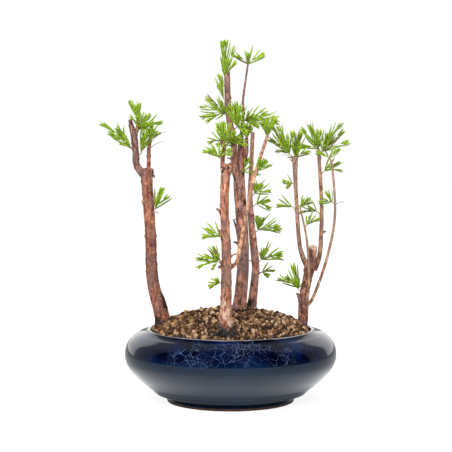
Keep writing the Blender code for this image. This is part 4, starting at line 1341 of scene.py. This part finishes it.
def stem_foot(limb, height, swing, tree):
    """Where a stem leaves its limb's bark, and in which direction."""
    line = smooth_route(ROUTES[limb], 2.0)
    if height == TIP:
        return line[-1][0], (line[-1][0] - line[-2][0]).normalized()
    spot = min(line, key=lambda point: abs(point[0].z - height))[0]
    away = heading(swing, STEM_RISE)
    return tree.ray_cast(spot + away * OUTSIDE_BARK, -away)[0], away


class Shoot:
    """The curve of one shoot, and the side on which its first rank of needles lies."""

    def __init__(self, hub, direction, reach, roll, arch=ARCH):
        self.reach = reach
        self.upright = max(0.0, direction.z) ** 3  # upright shoots are narrow brushes of long needles
        self.needle = min(NEEDLE, NEEDLE_OF_REACH * reach)
        self.length = reach - NEEDLE_BEYOND * self.needle
        lift = Vector((0, 0, 1)) - direction.z * direction
        self.hub = hub
        self.bend = hub + direction * self.length * 0.5 + lift * arch * reach
        self.end = hub + direction * self.length
        self.roll = roll
        self.direction = direction

    def at(self, t):
        return self.hub * (1 - t) ** 2 + self.bend * 2 * t * (1 - t) + self.end * t * t

    def along(self, t):
        return ((self.bend - self.hub) * (1 - t) + (self.end - self.bend) * t).normalized()

    def side(self, t):
        along = self.along(t)
        flat = self.direction.cross(Vector((0, -1, 0)))
        if flat.length < 0.1:
            flat = Vector((1, 0, 0))
        side = flat.normalized()
        side = side * math.cos(self.roll) + self.direction.cross(side) * math.sin(self.roll)
        return (side - side.dot(along) * along).normalized()


def twig_rings(shoot, radius, steps, sides):
    rings = []
    for step in range(steps + 1):
        t = step / steps
        side = shoot.side(t)
        other = shoot.along(t).cross(side)
        size = radius * (1 - SHOOT_TAPER * t)
        centre = shoot.at(t)
        rings.append([
            centre + (side * math.cos(turn) + other * math.sin(turn)) * size for turn in turns(sides)
        ])
    return rings


def needle_shapes():
    """Three needles, one unit long along Z: flat, keeled below and pointed, each bent its own way."""
    group = new_group("needle_shapes")
    for number, (bow, twist) in enumerate(NEEDLE_BENDS):
        points = []
        for t, wide in NEEDLE_OUTLINE:
            bent = Vector((0, bow * 4 * t * (1 - t) + bow * t, t))
            angle = twist * t
            across = Vector((math.cos(angle), math.sin(angle), 0)) * wide / 2
            under = Vector((-math.sin(angle), math.cos(angle), 0)) * wide * NEEDLE_KEEL
            points += [bent - across, bent - under, bent + across, bent + under * 0.6]
        end = len(points)
        last = end - 4
        point = [(last + i, last + (i + 1) % 4, end) for i in range(4)]
        faces = [(3, 2, 1, 0)] + bands(0, end, 4) + point
        points.append(Vector((0, bow, 1.0)))
        mesh = mesh_of("needle_%d" % number, [p / MM for p in points], faces)
        group.objects.link(bpy.data.objects.new(mesh.name, mesh))
    return group


def needle_turn(way, up):
    """The turn that lays a needle along its way with its flat side up."""
    wide = way.cross(up).normalized()
    flat = wide.cross(way)
    turn = Matrix((wide, -flat, way)).transposed()
    if turn.determinant() < 0:
        turn = Matrix((-wide, -flat, way)).transposed()
    return turn.to_euler()


def needles_on(shoot, rng, limbs, tree, tints, spacing, scale=1.0):
    """Points for the needles of one shoot, in two ranks, each (place, turn, length, tint, shape)."""
    found = []
    needle = shoot.needle * scale
    thin = 1 + 0.3 * shoot.upright + 0.7 * abs(shoot.direction.y)
    pairs = max(2, round((shoot.length - BARE_FOOT_FINE) / (spacing * thin)))
    for i in range(pairs + 1):
        share = (i + rng.uniform(-0.25, 0.25)) / pairs
        t = (BARE_FOOT_FINE + (shoot.length - BARE_FOOT_FINE) * share) / shoot.length
        t = min(1.0, max(0.02, t))
        place = (t * shoot.length - BARE_FOOT_FINE) / max(1.0, shoot.length - BARE_FOOT_FINE)
        along = shoot.along(t)
        side = shoot.side(t)
        up = along.cross(side)
        mean_rake = (RAKE_FOOT + (RAKE_TIP - RAKE_FOOT) * place) * (1 - RAKE_UPRIGHT * shoot.upright)
        for out_side in (-side, side):
            rake = math.radians(mean_rake + rng.uniform(-RAKE_VARIES, RAKE_VARIES))
            left_over = (shoot.reach * rng.uniform(0.9, 1.02) - t * shoot.length) / math.cos(rake)
            longest = needle * (BLADE + UPRIGHT_BLADE * shoot.upright) * rng.uniform(*NEEDLE_LENGTHS)
            grown = min(longest, max(left_over, needle * NEEDLE_SHORTEST))
            tilt = math.radians(rng.uniform(-TILT_VARIES, TILT_VARIES) + TILT)
            out = out_side * math.cos(tilt) + up * math.sin(tilt)
            way = along * math.cos(rake) + out * math.sin(rake)
            foot = shoot.at(t) + out * NEEDLE_START
            if limbs.ray_cast(foot, way, grown + CLEAR)[0] is not None:
                continue
            # painted light and shade: the needle's tint follows how far it faces LIGHT_FROM
            x, y, z = LIGHT_FROM
            lit = z * out.z + y * out.y + x * out.x + rng.uniform(-LIGHT_VARIES, LIGHT_VARIES)
            tint = tints[0] if lit > BRIGHT else tints[1] if lit > DIM else tints[2]
            if rng.random() < DRY_SHARE[tree]:
                tint = len(NEEDLE_TINTS) - 1
            found.append((foot, needle_turn(way, up), grown, tint, rng.randrange(len(NEEDLE_BENDS))))
    tip = shoot.along(1.0)
    side = shoot.side(1.0)
    for spread, tint in zip(TIP_SPREADS, (tints[1], tints[0])):
        way = (tip + side * math.sin(math.radians(spread))).normalized()
        grown = max(shoot.reach - shoot.length, needle * rng.uniform(*TIP_LENGTHS))
        found.append((shoot.end, needle_turn(way, tip.cross(side)), grown, tint, 0))
    return found


def side_shoots(shoot, rng):
    """Finer shoots that fork from one shoot at a narrow angle, within its own reach."""
    forks = []
    if shoot.length < ONE_FORK_FROM or shoot.upright > NO_FORKS_ABOVE:
        return forks
    for fork, start in enumerate(FORK_STARTS[:1 if shoot.length < TWO_FORKS_FROM else 2]):
        t = start + rng.uniform(-0.05, 0.05)
        angle = math.radians(rng.uniform(*FORK_ANGLES)) * (1 if fork % 2 else -1)
        along = shoot.along(t)
        side = shoot.side(t)
        tilt = math.radians(rng.uniform(-14, 14))
        out = side * math.cos(tilt) + along.cross(side) * math.sin(tilt)
        way = along * math.cos(angle) + out * math.sin(angle)
        reach = (1 - t) * shoot.length * rng.uniform(*FORK_REACHES) + FORK_EXTRA
        roll = shoot.roll + rng.uniform(-0.5, 0.5)
        forks.append(Shoot(shoot.at(t), way.normalized(), reach, roll, ARCH * 0.6))
    return forks


def stem_of(foot, away, hub):
    """The bare stem of a mass, from inside the bark to a little past its hub."""
    stem = Shoot(foot - away * STEM_SUNK, away, (hub - foot).length + STEM_SUNK, 0.0, 0.0)
    stem.length = (hub - foot).length + STEM_SUNK + STEM_PAST
    stem.bend, stem.end = (foot + hub) / 2, hub + away * STEM_PAST
    return stem


def grow_mass(name, tree, limbs, bark_tree):
    """The twigs, as rings, and the needles of one mass. Its shoots turn as the source's own do."""
    limb, height, (stem_swing, stem_length), shoots = MASSES[name]
    number = list(MASSES).index(name)
    rng = random.Random(SEED * 100 + number)
    own = random.Random(SEED * 1000 + number)
    foot, away = stem_foot(limb, height, stem_swing, bark_tree)
    hub = foot + away * stem_length
    drawn = [twig_rings(stem_of(foot, away, hub), STEM_RADIUS, *STEM_MESH)]
    needles = []
    for turn, (swing, rise, reach) in enumerate(shoots + MORE_SHOOTS.get(name, ())):
        swing += rng.uniform(-SWING_VARIES, SWING_VARIES)
        way = heading(swing, rise + rng.uniform(-RISE_VARIES, RISE_VARIES)) * reach
        lean = reach * (DEPTH - (DEPTH - DEPTH_UPRIGHT) * math.sin(math.radians(abs(rise))))
        way.y += lean if (turn + number) % 2 else -lean
        roll = math.radians(rng.uniform(-ROLL_VARIES, ROLL_VARIES))
        begin = hub
        if height == TIP:
            rim = Vector((way.x, way.y, 0)) * (0.6 * ROUTES[limb][-1][3] / way.length)
            begin = foot + rim + Vector(TUFT_SHIFTS.get(name, (0, 0, 0)))
        shoot = Shoot(begin, (hub + way - begin).normalized(), (hub + way - begin).length, roll)
        bare = min(BARE_FOOT, 0.3 * shoot.length)
        for _ in range(4 * (max(2, round((shoot.length - bare) / SOURCE_SPACING)) + 1)):
            rng.random()  # the source's needles take these draws
        tints = own.choice(SPRAY_TINTS[tree])
        forks = side_shoots(shoot, own)
        drawn.append(twig_rings(shoot, SHOOT_RADIUS, *SHOOT_MESH))
        needles += needles_on(shoot, own, limbs, tree, tints, PAIR_SPACING)
        for fork in forks:
            drawn.append(twig_rings(fork, SHOOT_RADIUS * FORK_RADIUS, *FORK_MESH))
            needles += needles_on(fork, own, limbs, tree, tints, PAIR_SPACING * FORK_SPACING, FORK_NEEDLES)
    return drawn, needles


def make_foliage():
    """Every mass grown again into twigs and needles, joined tree by tree."""
    limbs = tree_of(*ROUTES)
    barks = {name: tree_of(name) for name in ROUTES}
    shapes = needle_shapes()
    finishes = [needle_finish(*tint) for tint in NEEDLE_TINTS]
    skin = shoot_skin()
    for tree, prefixes in TREES.items():
        masses = [name for name in MASSES if MASSES[name][0].startswith(prefixes)]
        points, faces, needles = [], [], []
        for name in masses:
            drawn, grown = grow_mass(name, tree, limbs, barks[MASSES[name][0]])
            needles += grown
            for rings in drawn:
                add_skin(points, faces, rings)
        twigs = mesh_of("twigs_" + tree, points, faces)
        twigs.materials.append(skin)
        show("twigs_" + tree, twigs, "needles", *masses)
        batches = math.ceil(len(needles) / NEEDLES_A_PIECE)
        for batch in range(batches):
            label = "needles_%s_%d" % (tree, batch + 1)
            places, turned, lengths, tints, kinds = zip(*needles[batch::batches])
            dots = mesh_of(label, places, [], outwards=False)
            give(dots, "turn", turned, "FLOAT_VECTOR")
            give(dots, "grown", [length * MM for length in lengths])
            give(dots, "tint", tints, "INT")
            give(dots, "shape", kinds, "INT")
            grown = grow(dots, needle_tree(label, shapes, finishes), {"Width": NEEDLE_WIDTH * MM})
            show(label, grown, "needles")
    clear_group(shapes)


# Studio

def make_floor():
    """White paper that the bowl stands on. To all but camera rays it glows by its distance from the bowl's
    middle, most just outside the foot and little right under it: a painted reflection in the glaze, and
    painted light from below.
    """
    corners = [(x * FLOOR_HALF, y * FLOOR_HALF, 0) for x, y in ((-1, -1), (1, -1), (1, 1), (-1, 1))]
    floor = mesh_of("floor", corners, [(0, 1, 2, 3)])
    material, tree, shader, place = new_finish(
        "floor_paper", Roughness=0.95, Specular_IOR_Level=0.0, Emission_Color=(1, 1, 1, 1))
    paper = ramp(tree, cloud(tree, place, 3, 2), ((0.3, 0.36), (0.7, 0.40)))
    tree.links.new(paper, shader.inputs["Base Color"])
    away = put(tree, "ShaderNodeVectorMath", {0: place}, operation="LENGTH").outputs["Value"]
    # painted reflection: a glow that only the glaze's reflections and the light from below see
    painted_reflection = times(tree, ramp(tree, away, FLOOR_REFLECTION_GLOW), FLOOR_REFLECTION_STRENGTH)
    seen = put(tree, "ShaderNodeLightPath").outputs["Is Camera Ray"]
    tree.links.new(blend(tree, seen, painted_reflection, (FLOOR_GLOW,) * 3), shader.inputs["Emission Strength"])
    floor.materials.append(material)
    ground = bpy.data.objects.new("floor", floor)
    bpy.context.scene.collection.objects.link(ground)


def make_room():
    """Soft light from all round, with a dark room in front that only the glaze shows."""
    world = bpy.data.worlds.new("studio")
    bpy.context.scene.world = world
    world.use_nodes = True
    tree = world.node_tree
    sky = put(tree, "ShaderNodeTexCoord").outputs["Generated"]
    ahead = put(tree, "ShaderNodeSeparateXYZ", {"Vector": sky}).outputs["Y"]
    back = put(tree, "ShaderNodeMapRange", {"Value": ahead, "From Min": -1.0, "From Max": 1.0}).outputs[0]
    path = put(tree, "ShaderNodeLightPath").outputs
    soft = blend(tree, path["Is Glossy Ray"], (WORLD_STRENGTH,) * 3, ramp(tree, back, ROOM))
    soft = blend(tree, path["Is Camera Ray"], soft, (1.0, 1.0, 1.0))
    backdrop = tree.nodes["Background"]
    tree.links.new(soft, backdrop.inputs["Color"])
    backdrop.inputs["Strength"].default_value = 1.0
    bpy.context.scene.view_settings.view_transform = "Standard"


def make_lamps():
    """Large soft lamps, which the glaze doesn't show."""
    for name, spot, size, power in LAMPS:
        lamp = bpy.data.lights.new(name, "AREA")
        lamp.shape = "RECTANGLE"
        lamp.size = lamp.size_y = size
        lamp.energy = power
        lamp.color = LAMP_COLOUR
        stand = bpy.data.objects.new(name, lamp)
        stand.location = spot
        stand.rotation_euler = (Vector(LAMPS_AIM) - Vector(spot)).to_track_quat("-Z", "Y").to_euler()
        stand.visible_glossy = False
        bpy.context.scene.collection.objects.link(stand)


def make_camera():
    eye = bpy.data.cameras.new("camera")
    eye.lens = CAMERA_LENS
    eye.sensor_width = CAMERA_FILM
    eye.clip_end = 100
    camera = bpy.data.objects.new("camera", eye)
    camera.location = CAMERA_AT
    camera.rotation_euler = Euler((math.radians(90 - CAMERA_PITCH), 0, 0))
    bpy.context.scene.collection.objects.link(camera)
    bpy.context.scene.camera = camera


make_bowl()
make_soil()
make_limbs()
make_foliage()
make_floor()
make_room()
make_lamps()
make_camera()
